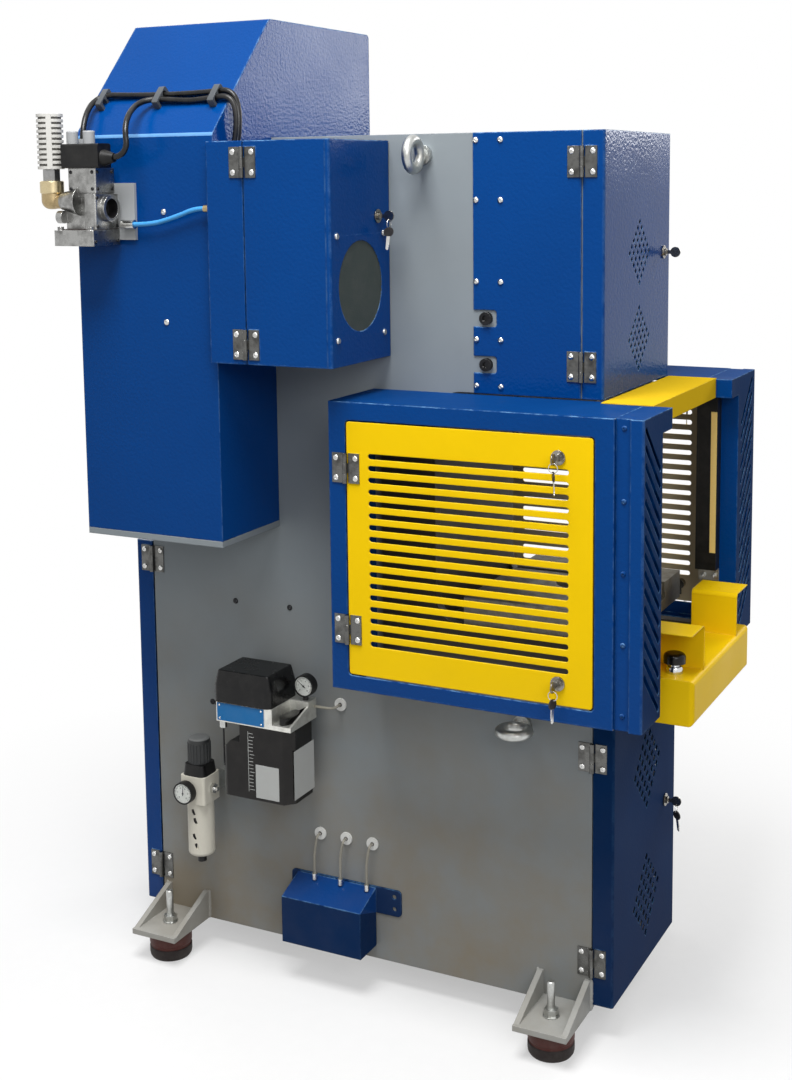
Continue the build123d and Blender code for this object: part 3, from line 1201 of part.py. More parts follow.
def lube_points():
    """Y of the three lubrication points on the manifold box."""
    return [-MANIFOLD_START - 51 - 65 * k for k in range(3)]


def lube_tubes():
    """Thin oil tubes to the discs where they enter the frame, with their fittings."""
    pieces = []
    x = -HALF - 17
    disc_z = MANIFOLD_LOW + 231
    slope = MANIFOLD_FALL / (MANIFOLD_OUT - PANEL)
    fitting_r = 6.0
    top = MANIFOLD_LOW + MANIFOLD_TALL - slope * (17 - PANEL - fitting_r - GAP / 2)
    for y in lube_points():
        pieces.append(rod(x, y, top, "z", fitting_r, 14))
        end = y - 8
        route = [(x, y, top + 14), (x, y, disc_z - 40), (x, end, disc_z), (-HALF, end, disc_z)]
        pieces.append(tube(route, TUBE_R))
        pieces.append(oil_disc(end, disc_z))
    y = -PUMP_BACK - PUMP_WIDTH
    z = PUMP_LOW + PUMP_TANK + 27
    pieces.append(tube([(x - 18, y, z), (x - 18, y - 46, z), (-HALF, y - 46, z)], TUBE_R))
    pieces.append(oil_disc(y - 46, z))
    return pieces


def oil_disc(y, z):
    """A disc around the hole where a tube enters the side plate."""
    return ring(-HALF, y, z, "x", DISC_R, TUBE_R + CLEAR, -4)


def control_gear():
    """The electrical plate in the lower compartment with its relays, drive and terminals."""
    y = -THROAT_BACK
    low = FOOT_GAP + WEB + 80
    pieces = [block(-150, 150, y - PANEL, y, low, low + 480)]
    for k in range(5):
        pieces.append(block(-130 + 52 * k, -84 + 52 * k, y - 90, y - PANEL, low + 300, low + 380))
    pieces.append(block(-130, -10, y - 120, y - PANEL, low + 90, low + 260))
    pieces.append(block(20, 130, y - 100, y - PANEL, low + 110, low + 230))
    pieces.append(block(-130, 130, y - 45, y - PANEL, low + 20, low + 60))
    return pieces


def panel_screws():
    """Domed screws of the head panels, the front units and the rear cover, and the buttons' collars."""
    heads = []
    for rise in (15, 109, 225, 387, 505):
        for back in (6, 59):
            heads.append(screw_head(-SKIN, PANEL_DEPTH - HEAD_DEPTH - back, HEAD_Z + rise, "x", -4))
    for k in range(5):
        heads.append(screw_head(-GUARD_X + UNIT_RECESS, UNIT_Y - 16, GUARD_Z + 28 + 135 * k, "x", -4))
    heads += [mirrored(h) for h in heads]
    for rise in (144, 369):
        heads.append(screw_head(COVER_LEFT, 123 - COVER_FRONT, HEAD_Z + rise, "x", -4))
    for y, drop in ((-219, 10), (-359, 9), (-150, 253)):
        heads.append(screw_head(-HALF, y, BED_HEIGHT - drop, "x", -4))
    return heads + [button_collar(x) for x in button_places()]


def doors():
    """Each door's hinges: wall X, side, axis Y, the two heights and the way the moving leaf points."""
    head = (-SKIN, -1, HEAD_DOOR_Y + 1, (HEAD_Z + 63, HEAD_Z + 460), -1)
    front = (-HALF, -1, LOWER_DOOR_Y + 1, (LOWER_DOOR_LOW + 91, LOWER_DOOR_LOW + 526), -1)
    rear = (-HALF, -1, REAR_DOOR_Y - 1, (REAR_DOOR_LOW + 90, REAR_DOOR_TOP - 40), 1)
    motor = (BOX_LEFT, -1, -BOX_SEAM, (BOX_Z + 40, BOX_Z + BOX_TALL - 42), -1)
    heights = (GRILLE_Z + 92, GRILLE_Z + 420)
    left = (-GUARD_X, -1, GRILLE_Y + DOOR_GAP / 2, heights, -1)
    right = (GUARD_X, 1, GRILLE_Y + DOOR_GAP / 2, heights, -1)
    return {"head_door": head, "lower_front_door": front, "rear_lower_door": rear, "motor_box_door": motor,
            "grille_left": left, "grille_right": right}


def assemble():
    """Every node's solids, before the shift to the origin."""
    out_left, out_front, out_rear = (-1, 0, 0), (0, -1, 0), (0, 1, 0)
    nodes = {
        "side_plate_left": [side_plate()],
        "side_plate_right": [mirrored(side_plate())],
        "cross_plates": cross_plates(),
        "shaft_bushes": shaft_bushes(),
        "bolster": [bolster()],
        "ram_guides": ram_guides(),
        "foot_brackets": [foot_bracket(*p) for p in foot_places()],
        "foot_studs": [foot_stud(*p) for p in foot_places()],
        "rubber_feet": [rubber_foot(*p) for p in foot_places()],
        "eccentric_shaft": [eccentric_shaft()],
        "clutch_brake": [clutch_brake()],
        "flywheel": [flywheel()],
        "drive_belt": [drive_belt()],
        "motor_body": [motor_body()],
        "motor_rotor": motor_rotor(),
        "connecting_rod": [connecting_rod()],
        "ram": [ram()],
        "rear_cover": [rear_cover()],
        "cover_base": [cover_base()],
        "motor_box": [motor_box()],
        "motor_box_door": motor_box_door(),
        "head_panels": [head_panel(), mirrored(head_panel())],
        "head_door": [head_door()],
        "lower_front_door": [lower_front_door()],
        "rear_lower_door": [rear_lower_door()],
        "side_guards": [side_guard(), mirrored(side_guard())],
        "front_guards": [front_unit(-GUARD_X, -OPENING_LEFT), front_unit(GUARD_X, OPENING_RIGHT)],
        "guard_bridge": [guard_bridge()],
        "light_curtains": light_curtains(),
        "grille_left": [grille()],
        "grille_right": [mirrored(grille())],
        "console": [console()],
        "palm_button_left": [palm_button(button_places()[0])],
        "palm_button_right": [palm_button(button_places()[1])],
        "valve_block": valve_block(),
        "solenoid_plugs": solenoid_plugs(),
        "solenoid_cables": solenoid_cables() + cable_clips(),
        "silencer": [silencer()],
        "brass_fittings": brass_fittings(),
        "air_hose": [tube(hose_route(), HOSE_R)],
        "regulator": regulator(),
        "regulator_knob": [regulator_knob()],
        "gauges": gauges(),
        "pump_reservoir": [pump_reservoir()],
        "pump_head": pump_head(),
        "pump_lid": [pump_lid()],
        "manifold_box": manifold_box(),
        "lube_tubes": lube_tubes(),
        "control_gear": control_gear(),
        "panel_screws": panel_screws(),
        "lock_motor_box": [lock(*motor_lock_place(), out_front, (1, 0, 0))],
        "lock_head_door": [lock(*head_lock_place(), out_front, (1, 0, 0))],
        "lock_front_door": [lock(*front_lock_place(), out_front, (1, 0, 0))],
        "lock_rear_door": [lock(*rear_lock_place(), out_rear, (1, 0, 0))],
    }
    for place, end in zip(grille_lock_places(), ("bottom", "top")):
        barrel = lock(*place, out_left, (0, 1, 0))
        nodes["lock_grille_left_" + end] = [barrel]
        nodes["lock_grille_right_" + end] = [mirrored(barrel)]
    eyes = [lifting_eye(*p, turn) for p, turn in zip(eye_places(), EYE_TURNS)]
    nodes["lifting_eyes"] = eyes + [mirrored(e) for e in eyes]
    nodes["hinge_leaves"] = []
    for door, (x, side, y, heights, away) in doors().items():
        for z in heights:
            fixed, moving = hinge(x, side, y, z, away)
            nodes["hinge_leaves"].append(fixed)
            nodes[door].append(moving)
    return nodes


def bottom_centre(nodes):
    """The shift that puts the bottom centre of everything at the origin."""
    boxes = [piece.bounding_box() for pieces in nodes.values() for piece in pieces]
    x = (min(b.min.X for b in boxes) + max(b.max.X for b in boxes)) / 2
    y = (min(b.min.Y for b in boxes) + max(b.max.Y for b in boxes)) / 2
    return Pos(-x, -y, -min(b.min.Z for b in boxes))


NODES = assemble()
SHIFT = bottom_centre(NODES)
os.makedirs("parts", exist_ok=True)
for name, pieces in NODES.items():
    placed = [SHIFT * piece for piece in pieces]
    export_step(placed[0] if len(placed) == 1 else Compound(children=placed), f"parts/{name}.step")
print(len(NODES), "nodes, shift", SHIFT.position)
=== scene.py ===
import math
import bmesh
import bpy
from mathutils import Matrix, Vector


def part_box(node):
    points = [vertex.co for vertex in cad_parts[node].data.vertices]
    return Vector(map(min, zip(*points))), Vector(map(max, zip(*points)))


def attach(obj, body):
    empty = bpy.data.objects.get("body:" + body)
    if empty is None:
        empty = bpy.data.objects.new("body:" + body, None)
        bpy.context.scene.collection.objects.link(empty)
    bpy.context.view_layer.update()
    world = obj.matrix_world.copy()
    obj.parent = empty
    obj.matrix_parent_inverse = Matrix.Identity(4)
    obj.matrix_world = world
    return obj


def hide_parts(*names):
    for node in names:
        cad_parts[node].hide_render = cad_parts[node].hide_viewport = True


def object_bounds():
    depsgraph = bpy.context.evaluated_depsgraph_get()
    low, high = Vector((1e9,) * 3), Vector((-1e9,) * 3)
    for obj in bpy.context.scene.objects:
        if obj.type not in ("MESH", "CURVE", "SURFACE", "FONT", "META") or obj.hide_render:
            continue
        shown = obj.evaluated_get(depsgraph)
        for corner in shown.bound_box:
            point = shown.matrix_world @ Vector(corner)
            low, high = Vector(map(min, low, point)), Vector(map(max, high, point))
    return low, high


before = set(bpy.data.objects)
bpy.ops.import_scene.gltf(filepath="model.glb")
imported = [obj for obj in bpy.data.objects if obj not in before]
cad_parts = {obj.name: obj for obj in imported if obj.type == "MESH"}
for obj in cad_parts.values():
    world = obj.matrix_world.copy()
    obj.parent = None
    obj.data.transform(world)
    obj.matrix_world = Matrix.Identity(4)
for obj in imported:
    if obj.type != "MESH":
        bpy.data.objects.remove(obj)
cad_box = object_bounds()


# Frame: two flame-cut side plates welded to the floor, bed, web, bearing and top plates. Structural steel in
# a light grey satin enamel, sprayed on: soft clouds, a fine orange peel, rubbed corners with a painted
# highlight, workshop soil near the floor, and painted shade in dark brown inside the guard, around the tools.
PLATE_FACE = -208.0
plate_low, plate_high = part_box("side_plate_left")
datum = Vector((plate_low.x * 1000 - PLATE_FACE, plate_high.y * 1000, 0.0))


def at(x, y, z):
    """A place in the frame, from millimetres right of the mid plane, behind the rear edge and up."""
    return (Vector((x, y, z)) + datum) / 1000


def tone(red, green, blue):
    """A colour as a screen shows it, 0 to 255, made linear for a shader."""
    def linear(value):
        value /= 255
        return value / 12.92 if value <= 0.04045 else ((value + 0.055) / 1.055) ** 2.4
    return (linear(red), linear(green), linear(blue), 1.0)


def wire(tree, node, wires):
    """Gives each named or numbered input its value, or the socket that feeds it."""
    for socket, value in wires.items():
        if isinstance(value, bpy.types.NodeSocket):
            tree.links.new(value, node.inputs[socket])
        else:
            node.inputs[socket].default_value = value
    return node


def place(tree, kind, wires=None, **settings):
    """Adds a node with its settings and its inputs."""
    node = tree.nodes.new(kind)
    for setting, value in settings.items():
        setattr(node, setting, value)
    return wire(tree, node, wires or {})


def first_of(tree, kind, wires=None, **settings):
    """A new node's first output."""
    return place(tree, kind, wires, **settings).outputs[0]


SOCKETS = {float: "Float", int: "Int", tuple: "Color", Vector: "Vector"}


def effect(name, inputs, outputs, family="ShaderNodeTree"):
    """A node group with these inputs and outputs; an input without a value is labelled by its kind."""
    tree = bpy.data.node_groups.new(name, family)
    for label, value in inputs.items():
        kind = "NodeSocket" + SOCKETS.get(type(value), label)
        socket = tree.interface.new_socket(label, in_out="INPUT", socket_type=kind)
        if value is not None:
            socket.default_value = value
    for label, kind in outputs.items():
        tree.interface.new_socket(label, in_out="OUTPUT", socket_type="NodeSocket" + kind)
    return tree, place(tree, "NodeGroupInput").outputs, place(tree, "NodeGroupOutput")


def sum_of(tree, operation, *values):
    """A Math node's result."""
    return first_of(tree, "ShaderNodeMath", dict(enumerate(values)), operation=operation)


def times(tree, first, *others):
    """Values multiplied together."""
    for value in others:
        first = sum_of(tree, "MULTIPLY", first, value)
    return first


def blend_of(tree, share, first, second):
    """Two colours mixed."""
    return place(tree, "ShaderNodeMix", {0: share, 6: first, 7: second}, data_type="RGBA").outputs[2]


def spot_of(tree):
    """Where a surface lies in its own object."""
    return place(tree, "ShaderNodeTexCoord").outputs["Object"]


def noise_of(tree, spot, scale, detail=3.0, rough=0.5):
    """A cloudy value from 0 to 1 over the surface."""
    wires = {"Vector": spot, "Scale": scale, "Detail": detail, "Roughness": rough}
    return first_of(tree, "ShaderNodeTexNoise", wires)


def shaded(tree, colour, value):
    """A colour made darker or lighter."""
    return first_of(tree, "ShaderNodeHueSaturation", {"Value": value, "Color": colour})


def span_of(tree, value, low, high, first=0.0, last=1.0):
    """A value brought from one span to another."""
    wires = {"Value": value, "From Min": low, "From Max": high, "To Min": first, "To Max": last}
    return first_of(tree, "ShaderNodeMapRange", wires)


def roughness_of(tree, value, middle, given):
    """A skin's roughness, spread by how far a value lies from its middle."""
    off = sum_of(tree, "SUBTRACT", value, middle)
    return sum_of(tree, "MULTIPLY_ADD", off, given["Spread"], given["Roughness"])


SKIN = {"Colour": "Color", "Roughness": "Float", "Height": "Float"}
# SOIL_BROWN is workshop soil near the floor; the second colour is painted shade, a dark brown, inside the
# guard.
SOIL_BROWN, GUARD_SHADE_BROWN = (0.25, 0.205, 0.14, 1.0), (0.035, 0.022, 0.006, 1.0)
SPLASH_HEIGHT = 0.95
GUARD_REAR, GUARD_FLOOR, GUARD_ROOF = (0.016, 0.0), (0.745, 0.775), (1.326, 1.31)

enamel, given, made = effect(
    "sprayed_enamel",
    {"Colour": (0.5, 0.5, 0.5, 1.0), "Cloud": 0.1, "Cloud Scale": 4.0, "Peel Scale": 260.0,
     "Roughness": 0.4, "Spread": 0.1, "Soil": 0.2, "Oil": 0.0},
    SKIN)
tree = enamel
spot = spot_of(tree)
cloud = noise_of(tree, spot, given["Cloud Scale"], 5.0, 0.62)
drift = times(tree, sum_of(tree, "SUBTRACT", cloud, 0.5), given["Cloud"])
clouded = shaded(tree, given["Colour"], sum_of(tree, "MULTIPLY_ADD", drift, 2.0, 1.0))
_, depth, height = place(tree, "ShaderNodeSeparateXYZ", {0: spot}).outputs
splash = span_of(tree, height, 0.0, SPLASH_HEIGHT, 1.0, 0.05)
patch = span_of(tree, noise_of(tree, spot, 5.0, 6.0, 0.6), 0.36, 0.66)
film = span_of(tree, patch, 0.0, 1.0, 0.3, 1.0)
soil = times(tree, splash, film, given["Soil"])
soiled = blend_of(tree, soil, clouded, SOIL_BROWN)
# Painted shade: dark brown over the enamel inside the guard, between its floor and roof heights.
inside = times(tree, span_of(tree, height, *GUARD_FLOOR), span_of(tree, height, *GUARD_ROOF))
guard_shaded = times(tree, span_of(tree, depth, *GUARD_REAR), inside, given["Oil"])
wire(tree, made, {
    "Colour": blend_of(tree, guard_shaded, soiled, GUARD_SHADE_BROWN),
    "Roughness": sum_of(tree, "MULTIPLY_ADD", soil, 0.3, roughness_of(tree, patch, 0.4, given)),
    "Height": noise_of(tree, spot, given["Peel Scale"], 2.0, 0.4)})

# Edges: a lighter colour along bends, partly rubbed wear and partly a painted highlight.
rubbed_edges_and_glint, given, made = effect(
    "rubbed_edges_and_glint", {"Radius": 0.003, "Share": 0.5}, {"Mask": "Float", "Normal": "Vector"})
tree = rubbed_edges_and_glint
rounded = first_of(tree, "ShaderNodeBevel", {"Radius": given["Radius"]}, samples=4)
flat = place(tree, "ShaderNodeNewGeometry").outputs["Normal"]
agree = place(tree, "ShaderNodeVectorMath", {0: rounded, 1: flat}, operation="DOT_PRODUCT")
turned = span_of(tree, agree.outputs["Value"], 0.99, 0.92)
broken = span_of(tree, noise_of(tree, spot_of(tree), 45.0, 4.0, 0.6), 0.38, 0.62)
# Painted highlight: the edge colour is stronger where a bend faces up, as if lit from above.
rise = place(tree, "ShaderNodeSeparateXYZ", {0: rounded}).outputs["Z"]
upper = span_of(tree, rise, 0.1, 0.5, 0.3, 1.0)
wire(tree, made, {
    "Mask": times(tree, turned, broken, upper, given["Share"]),
    "Normal": rounded})


def finish(name, group, values, edge_wear_and_glint, edge, bump, sockets):
    """A material: a skin group, its edges in another colour for wear and a painted highlight, and a bump from
    the skin's height.
    """
    material = bpy.data.materials.new(name)
    material.use_nodes = True
    tree = material.node_tree
    skin = place(tree, "ShaderNodeGroup", values, node_tree=group)
    edges = place(tree, "ShaderNodeGroup", {"Radius": edge[0], "Share": edge[1]}, node_tree=rubbed_edges_and_glint)
    grain = first_of(tree, "ShaderNodeBump", {
        "Strength": bump[0], "Distance": bump[1],
        "Height": skin.outputs["Height"], "Normal": edges.outputs["Normal"]})
    wire(tree, tree.nodes["Principled BSDF"], {
        "Base Color": blend_of(tree, edges.outputs["Mask"], skin.outputs["Colour"], edge_wear_and_glint),
        "Roughness": skin.outputs["Roughness"],
        "Normal": grain,
        **sockets})
    return material


def painted(name, colour, edge_wear_and_glint, cloud, edge, bump, peel=150.0, rough=(0.5, 0.12), soil=0.1, gloss=0.5,
            guard_shade=0.0):
    """A sprayed enamel: cloud is (share, scale), rough is (roughness, spread), edge is (radius, share)."""
    values = {"Colour": tone(*colour), "Cloud": cloud[0], "Cloud Scale": cloud[1], "Peel Scale": peel,
              "Roughness": rough[0], "Spread": rough[1], "Soil": soil, "Oil": guard_shade}
    return finish(name, enamel, values, tone(*edge_wear_and_glint), edge, bump, {"Specular IOR Level": gloss})


def dress(name, coat, *parts):
    """Coats a CAD node; each part is (coat, x span, y span, z span) in machine millimetres, None for any."""
    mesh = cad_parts[name].data
    mesh.materials.clear()
    for material in [coat, *(part[0] for part in parts)]:
        mesh.materials.append(material)
    for polygon in mesh.polygons:
        spot = polygon.center * 1000 - datum
        index = 0
        for number, (_, *spans) in enumerate(parts, 1):
            if all(span is None or span[0] <= value <= span[1] for span, value in zip(spans, spot)):
                index = number
        polygon.material_index = index


frame_grey = painted(
    "frame_grey", (131, 139, 144), (176, 181, 184), cloud=(0.14, 3.2), peel=420.0, rough=(0.42, 0.16),
    soil=0.95, edge=(0.0025, 0.6), bump=(0.12, 0.0004), gloss=0.3, guard_shade=0.9)
for name in ("side_plate_left", "side_plate_right", "cross_plates", "cover_base"):
    dress(name, frame_grey)


# Feet: welded brackets in a lighter copy of the frame grey, as painted light from above; zinc-plated
# levelling studs with flanged nuts, and layered mounts, pressed from red-brown rubber with a darker tread.
# A weld runs up both edges of each bracket.
# Metal skin: grain and dark patches; the patches are real tarnish on most metals, and a painted reflection on
# the hinge steel, lock chrome and valve.
worked_metal, given, made = effect(
    "worked_metal",
    {"Colour": (0.6, 0.6, 0.6, 1.0), "Stain": (0.2, 0.2, 0.2, 1.0), "Stain Share": 0.3,
     "Grain Scale": 300.0, "Stretch": Vector((1.0, 1.0, 1.0)), "Roughness": 0.3, "Spread": 0.15},
    SKIN)
tree = worked_metal
spot = spot_of(tree)
lay = first_of(tree, "ShaderNodeMapping", {"Vector": spot, "Scale": given["Stretch"]})
grain = noise_of(tree, lay, given["Grain Scale"], 4.0, 0.6)
tarnish_and_dark_reflection = span_of(tree, noise_of(tree, spot, 38.0, 5.0, 0.65), 0.44, 0.72)
stained_and_dark_reflection = times(tree, tarnish_and_dark_reflection, given["Stain Share"])
bright = shaded(tree, given["Colour"], sum_of(tree, "MULTIPLY_ADD", grain, 0.36, 0.82))
loose = sum_of(tree, "MULTIPLY_ADD", grain, 0.6, stained_and_dark_reflection)
wire(tree, made, {
    "Colour": blend_of(tree, stained_and_dark_reflection, bright, given["Stain"]),
    "Roughness": roughness_of(tree, loose, 0.3, given),
    "Height": grain})

moulded_skin, given, made = effect(
    "moulded_skin",
    {"Colour": (0.1, 0.1, 0.1, 1.0), "Dust": (0.4, 0.38, 0.35, 1.0), "Dust Share": 0.1,
     "Grain Scale": 900.0, "Roughness": 0.5, "Spread": 0.15},
    SKIN)
tree = moulded_skin
spot = spot_of(tree)
pebble = noise_of(tree, spot, given["Grain Scale"], 2.0, 0.5)
touch = span_of(tree, noise_of(tree, spot, 26.0, 6.0, 0.65), 0.4, 0.7)
dusty = times(tree, touch, given["Dust Share"])
wire(tree, made, {
    "Colour": blend_of(tree, dusty, given["Colour"], given["Dust"]),
    "Roughness": roughness_of(tree, touch, 0.4, given),
    "Height": pebble})

# Metal edges go near white, for wear and a painted highlight.
BRIGHT_EDGE_WEAR_AND_GLINT = tone(235, 235, 232)


def metal(name, colour, stain_and_dark_reflection, share, grain, rough, lay=(1, 1, 1), edge=(0.0006, 0.4), bump=(0.15, 0.0001)):
    """A bare or plated metal; a large number in its lay packs the grain closer along that axis."""
    values = {"Colour": tone(*colour), "Stain": tone(*stain_and_dark_reflection), "Stain Share": share, "Grain Scale": grain,
              "Stretch": lay, "Roughness": rough, "Spread": 0.22}
    return finish(name, worked_metal, values, BRIGHT_EDGE_WEAR_AND_GLINT, edge, bump, {"Metallic": 1.0})


def moulded(name, colour, rough, share=0.05, grain=900.0, edge=(0.0008, 0.25), bump=(0.2, 0.0002), **sockets):
    """A moulded plastic or rubber."""
    colour = tone(*colour)
    values = {"Colour": colour, "Dust Share": share, "Grain Scale": grain, "Roughness": rough, "Spread": 0.2}
    # Moulded edges: a lighter copy of the colour, for wear and a painted highlight.
    lighter = tuple(min(1.0, 0.06 + value * 1.6) for value in colour[:3]) + (1.0,)
    return finish(name, moulded_skin, values, lighter, edge, bump, {"Specular IOR Level": 0.28, **sockets})


zinc_steel = metal("zinc_plated_steel", (196, 198, 196), (120, 112, 96), 0.45, 220.0, 0.34)
red_rubber = moulded("red_rubber", (80, 38, 32), 0.55, 0.12, 500.0)
dark_rubber = moulded("dark_rubber", (36, 28, 27), 0.68, 0.12, 500.0)
# Painted light: a lighter copy of the frame grey for the brackets and their welds, as if lit from above.
foot_painted_light_grey = painted(
    "foot_painted_light_grey", (170, 172, 170), (206, 206, 202), cloud=(0.2, 14.0), peel=420.0, rough=(0.45, 0.16),
    soil=0.5, edge=(0.002, 0.8), bump=(0.2, 0.0005), gloss=0.3)
dress("foot_brackets", foot_painted_light_grey)
dress("foot_studs", zinc_steel)

LEFT, RIGHT, FRONT, REAR, UP = map(Vector, ((-1, 0, 0), (1, 0, 0), (0, -1, 0), (0, 1, 0), (0, 0, 1)))


def show(name, data):
    """Puts an object with this data into the scene."""
    thing = bpy.data.objects.new(name, data)
    bpy.context.scene.collection.objects.link(thing)
    return thing


def keep(name, shape, materials, body="frame", crease=35):
    """Makes a finished bmesh a piece that rides on a body."""
    mesh = bpy.data.meshes.new(name)
    shape.to_mesh(mesh)
    shape.free()
    mesh.shade_smooth()
    mesh.set_sharp_from_angle(angle=math.radians(crease))
    for material in materials:
        mesh.materials.append(material)
    piece = show(name, mesh)
    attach(piece, body)
    return piece


def turn(shape, profile, centre, axis, segments=48):
    """Spins an outline of (radius, along, material number) millimetres round an axis into a bmesh."""
    across = axis.orthogonal().normalized()
    other = axis.cross(across)
    rings = []
    for radius, along, _ in profile:
        middle = centre + axis * (along / 1000)
        angles = [2 * math.pi * step / segments for step in range(segments if radius else 1)]
        rings.append([shape.verts.new(middle + (across * math.cos(a) + other * math.sin(a)) * (radius / 1000))
                      for a in angles])
    for (lower, upper), (_, _, number) in zip(zip(rings, rings[1:]), profile[1:]):
        for step in range(segments):
            after = (step + 1) % segments
            corners = [lower[step % len(lower)], lower[after % len(lower)],
                       upper[after % len(upper)], upper[step % len(upper)]]
            face = shape.faces.new(list(dict.fromkeys(corners)))
            face.material_index = number
    bmesh.ops.recalc_face_normals(shape, faces=shape.faces)


FOOT_X, FOOT_Y = 283, (-1001.5, -68.5)
MOUNT = [(0, 0, 1), (40, 0, 1), (44, 1.5, 1), (47, 6, 1), (48, 12, 1), (48, 25, 1), (46.5, 27, 1),
         (45, 28, 0), (45, 32, 0), (46.5, 33, 0), (48, 35, 0), (48, 58, 0), (47, 62, 0), (44, 64.8, 0),
         (0, 64.8, 0)]
mounts = bmesh.new()
for x in (-FOOT_X, FOOT_X):
    for y in FOOT_Y:
        turn(mounts, MOUNT, at(x, y, 0), UP)
rubber = keep("rubber_mounts", mounts, [red_rubber, dark_rubber])
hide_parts("rubber_feet")


def rows_of(name, inputs):
    """A Geometry Nodes tree with these inputs and a material, its points coming in as a mesh."""
    inputs = {"Geometry": None, **inputs, "Material": None}
    return effect(name, inputs, {"Geometry": "Geometry"}, "GeometryNodeTree")


def vector_of(tree, *values):
    """A vector from values along x, y and z."""
    return first_of(tree, "ShaderNodeCombineXYZ", dict(enumerate(values)))


def outward_turn(tree, axis):
    """The rotation that brings an axis to each point's outward direction."""
    way = first_of(tree, "GeometryNodeInputNamedAttribute", {"Name": "outward"}, data_type="FLOAT_VECTOR")
    return first_of(tree, "FunctionNodeAlignRotationToVector", {"Vector": way}, axis=axis)


def repeat(tree, given, made, wires):
    """Sets an instance on each point and gives them all out as one coated mesh."""
    rows = first_of(tree, "GeometryNodeInstanceOnPoints", {"Points": given["Geometry"], **wires})
    solid = first_of(tree, "GeometryNodeRealizeInstances", {0: rows})
    coated = first_of(tree, "GeometryNodeSetMaterial", {"Geometry": solid, "Material": given["Material"]})
    wire(tree, made, {0: coated})


def baked(thing):
    """The plain mesh that an object's modifiers or letters give."""
    bpy.context.view_layer.update()
    return bpy.data.meshes.new_from_object(thing.evaluated_get(bpy.context.evaluated_depsgraph_get()))


def grow(name, tree, points, values, body):
    """Runs a tree on (place, outward) points and rides the plain mesh that it gives on a body."""
    mesh = bpy.data.meshes.new(name)
    mesh.from_pydata([spot for spot, _ in points], [], [])
    outward = mesh.attributes.new("outward", "FLOAT_VECTOR", "POINT")
    for entry, (_, way) in zip(outward.data, points):
        entry.vector = way
    piece = show(name, mesh)
    modifier = piece.modifiers.new("rows", "NODES")
    modifier.node_group = tree
    for socket in tree.interface.items_tree:
        if socket.in_out == "INPUT" and socket.name in values:
            modifier[socket.identifier] = values[socket.name]
    grown = baked(piece)
    piece.modifiers.clear()
    piece.data = grown
    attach(piece, body)
    return piece


weld_bead, given, made = rows_of("weld_bead", {"Ripple Length": 0.0075, "Bead Size": 0.0048, "Seed": 7})
tree = weld_bead
ripple = first_of(tree, "GeometryNodeMeshIcoSphere", {"Radius": 1.0, "Subdivisions": 3})
size = vector_of(tree, given["Bead Size"], given["Bead Size"], given["Ripple Length"])
ripple = first_of(tree, "GeometryNodeTransform", {"Geometry": ripple, "Scale": size})
ripple = first_of(tree, "GeometryNodeSetShadeSmooth", {"Geometry": ripple})
uneven = place(tree, "FunctionNodeRandomValue", {2: 0.85, 3: 1.12, "Seed": given["Seed"]}).outputs[1]
along = outward_turn(tree, "Z")
repeat(tree, given, made, {"Instance": ripple, "Rotation": along, "Scale": uneven})

BRACKET_HALF, BEAD_LOW, BEAD_STEP, BEAD_RIPPLES, BEAD_LEAN = 57.5, 71, 3.2, 18, 0.25
bead_spots = []
for x in (PLATE_FACE, -PLATE_FACE):
    for y in FOOT_Y:
        for side in (-1, 1):
            lean = Vector((0, side * BEAD_LEAN, 1)).normalized()
            bead_spots += [(at(x, y + side * BRACKET_HALF, BEAD_LOW + BEAD_STEP * step), lean)
                           for step in range(BEAD_RIPPLES)]
grow("foot_welds", weld_bead, bead_spots, {"Material": foot_painted_light_grey}, "frame")


# Press drive: the forged eccentric shaft in bronze bushes, the connecting rod, the ground ram between
# its bolted guides, and the planed bolster plate on the bed. The steel is coloured darker with brown stains,
# the darker colour being painted shade inside the guard.
def band(coat, axis, low, high):
    """A part for dress: the faces between two places along one axis, in machine millimetres."""
    return (coat, *((low, high) if letter == axis else None for letter in "xyz"))


# Painted shade: these steels are coloured darker, for the shade inside the guard.
machined_steel = metal("ground_steel", (128, 124, 114), (56, 46, 30), 0.5, 160.0, 0.3, (1, 1, 14))
planed_steel = metal("planed_steel", (156, 152, 140), (84, 72, 50), 0.5, 130.0, 0.42, (16, 1, 1))
bearing_bronze = metal("bearing_bronze", (186, 142, 84), (96, 70, 40), 0.4, 240.0, 0.36)
blued_steel = metal("blackened_steel", (52, 52, 54), (24, 24, 25), 0.5, 320.0, 0.42)
for name in ("eccentric_shaft", "connecting_rod", "ram"):
    dress(name, machined_steel)
dress("bolster", planed_steel)
dress("shaft_bushes", bearing_bronze)
dress("ram_guides", machined_steel, band(blued_steel, "x", -219, -184), band(blued_steel, "x", 184, 219))


# Flywheel drive: the cast flywheel with its clutch and brake unit, the flat belt, and the finned motor
# with its pulley and fan on the bracket beside the frame.
cast_iron = metal("cast_iron", (118, 120, 122), (58, 52, 48), 0.5, 420.0, 0.5, bump=(0.3, 0.0004))
belt_rubber = moulded("belt_rubber", (40, 38, 36), 0.6, 0.2, 700.0)
motor_grey = painted(
    "motor_paint", (92, 104, 112), (150, 158, 162), cloud=(0.14, 9.0), peel=300.0, rough=(0.4, 0.12),
    soil=0.3, edge=(0.001, 0.4), bump=(0.12, 0.0003))
dress("flywheel", cast_iron)
dress("clutch_brake", machined_steel)
dress("drive_belt", belt_rubber)
dress("motor_body", motor_grey)
dress("motor_rotor", machined_steel, band(blued_steel, "y", -598, -580))


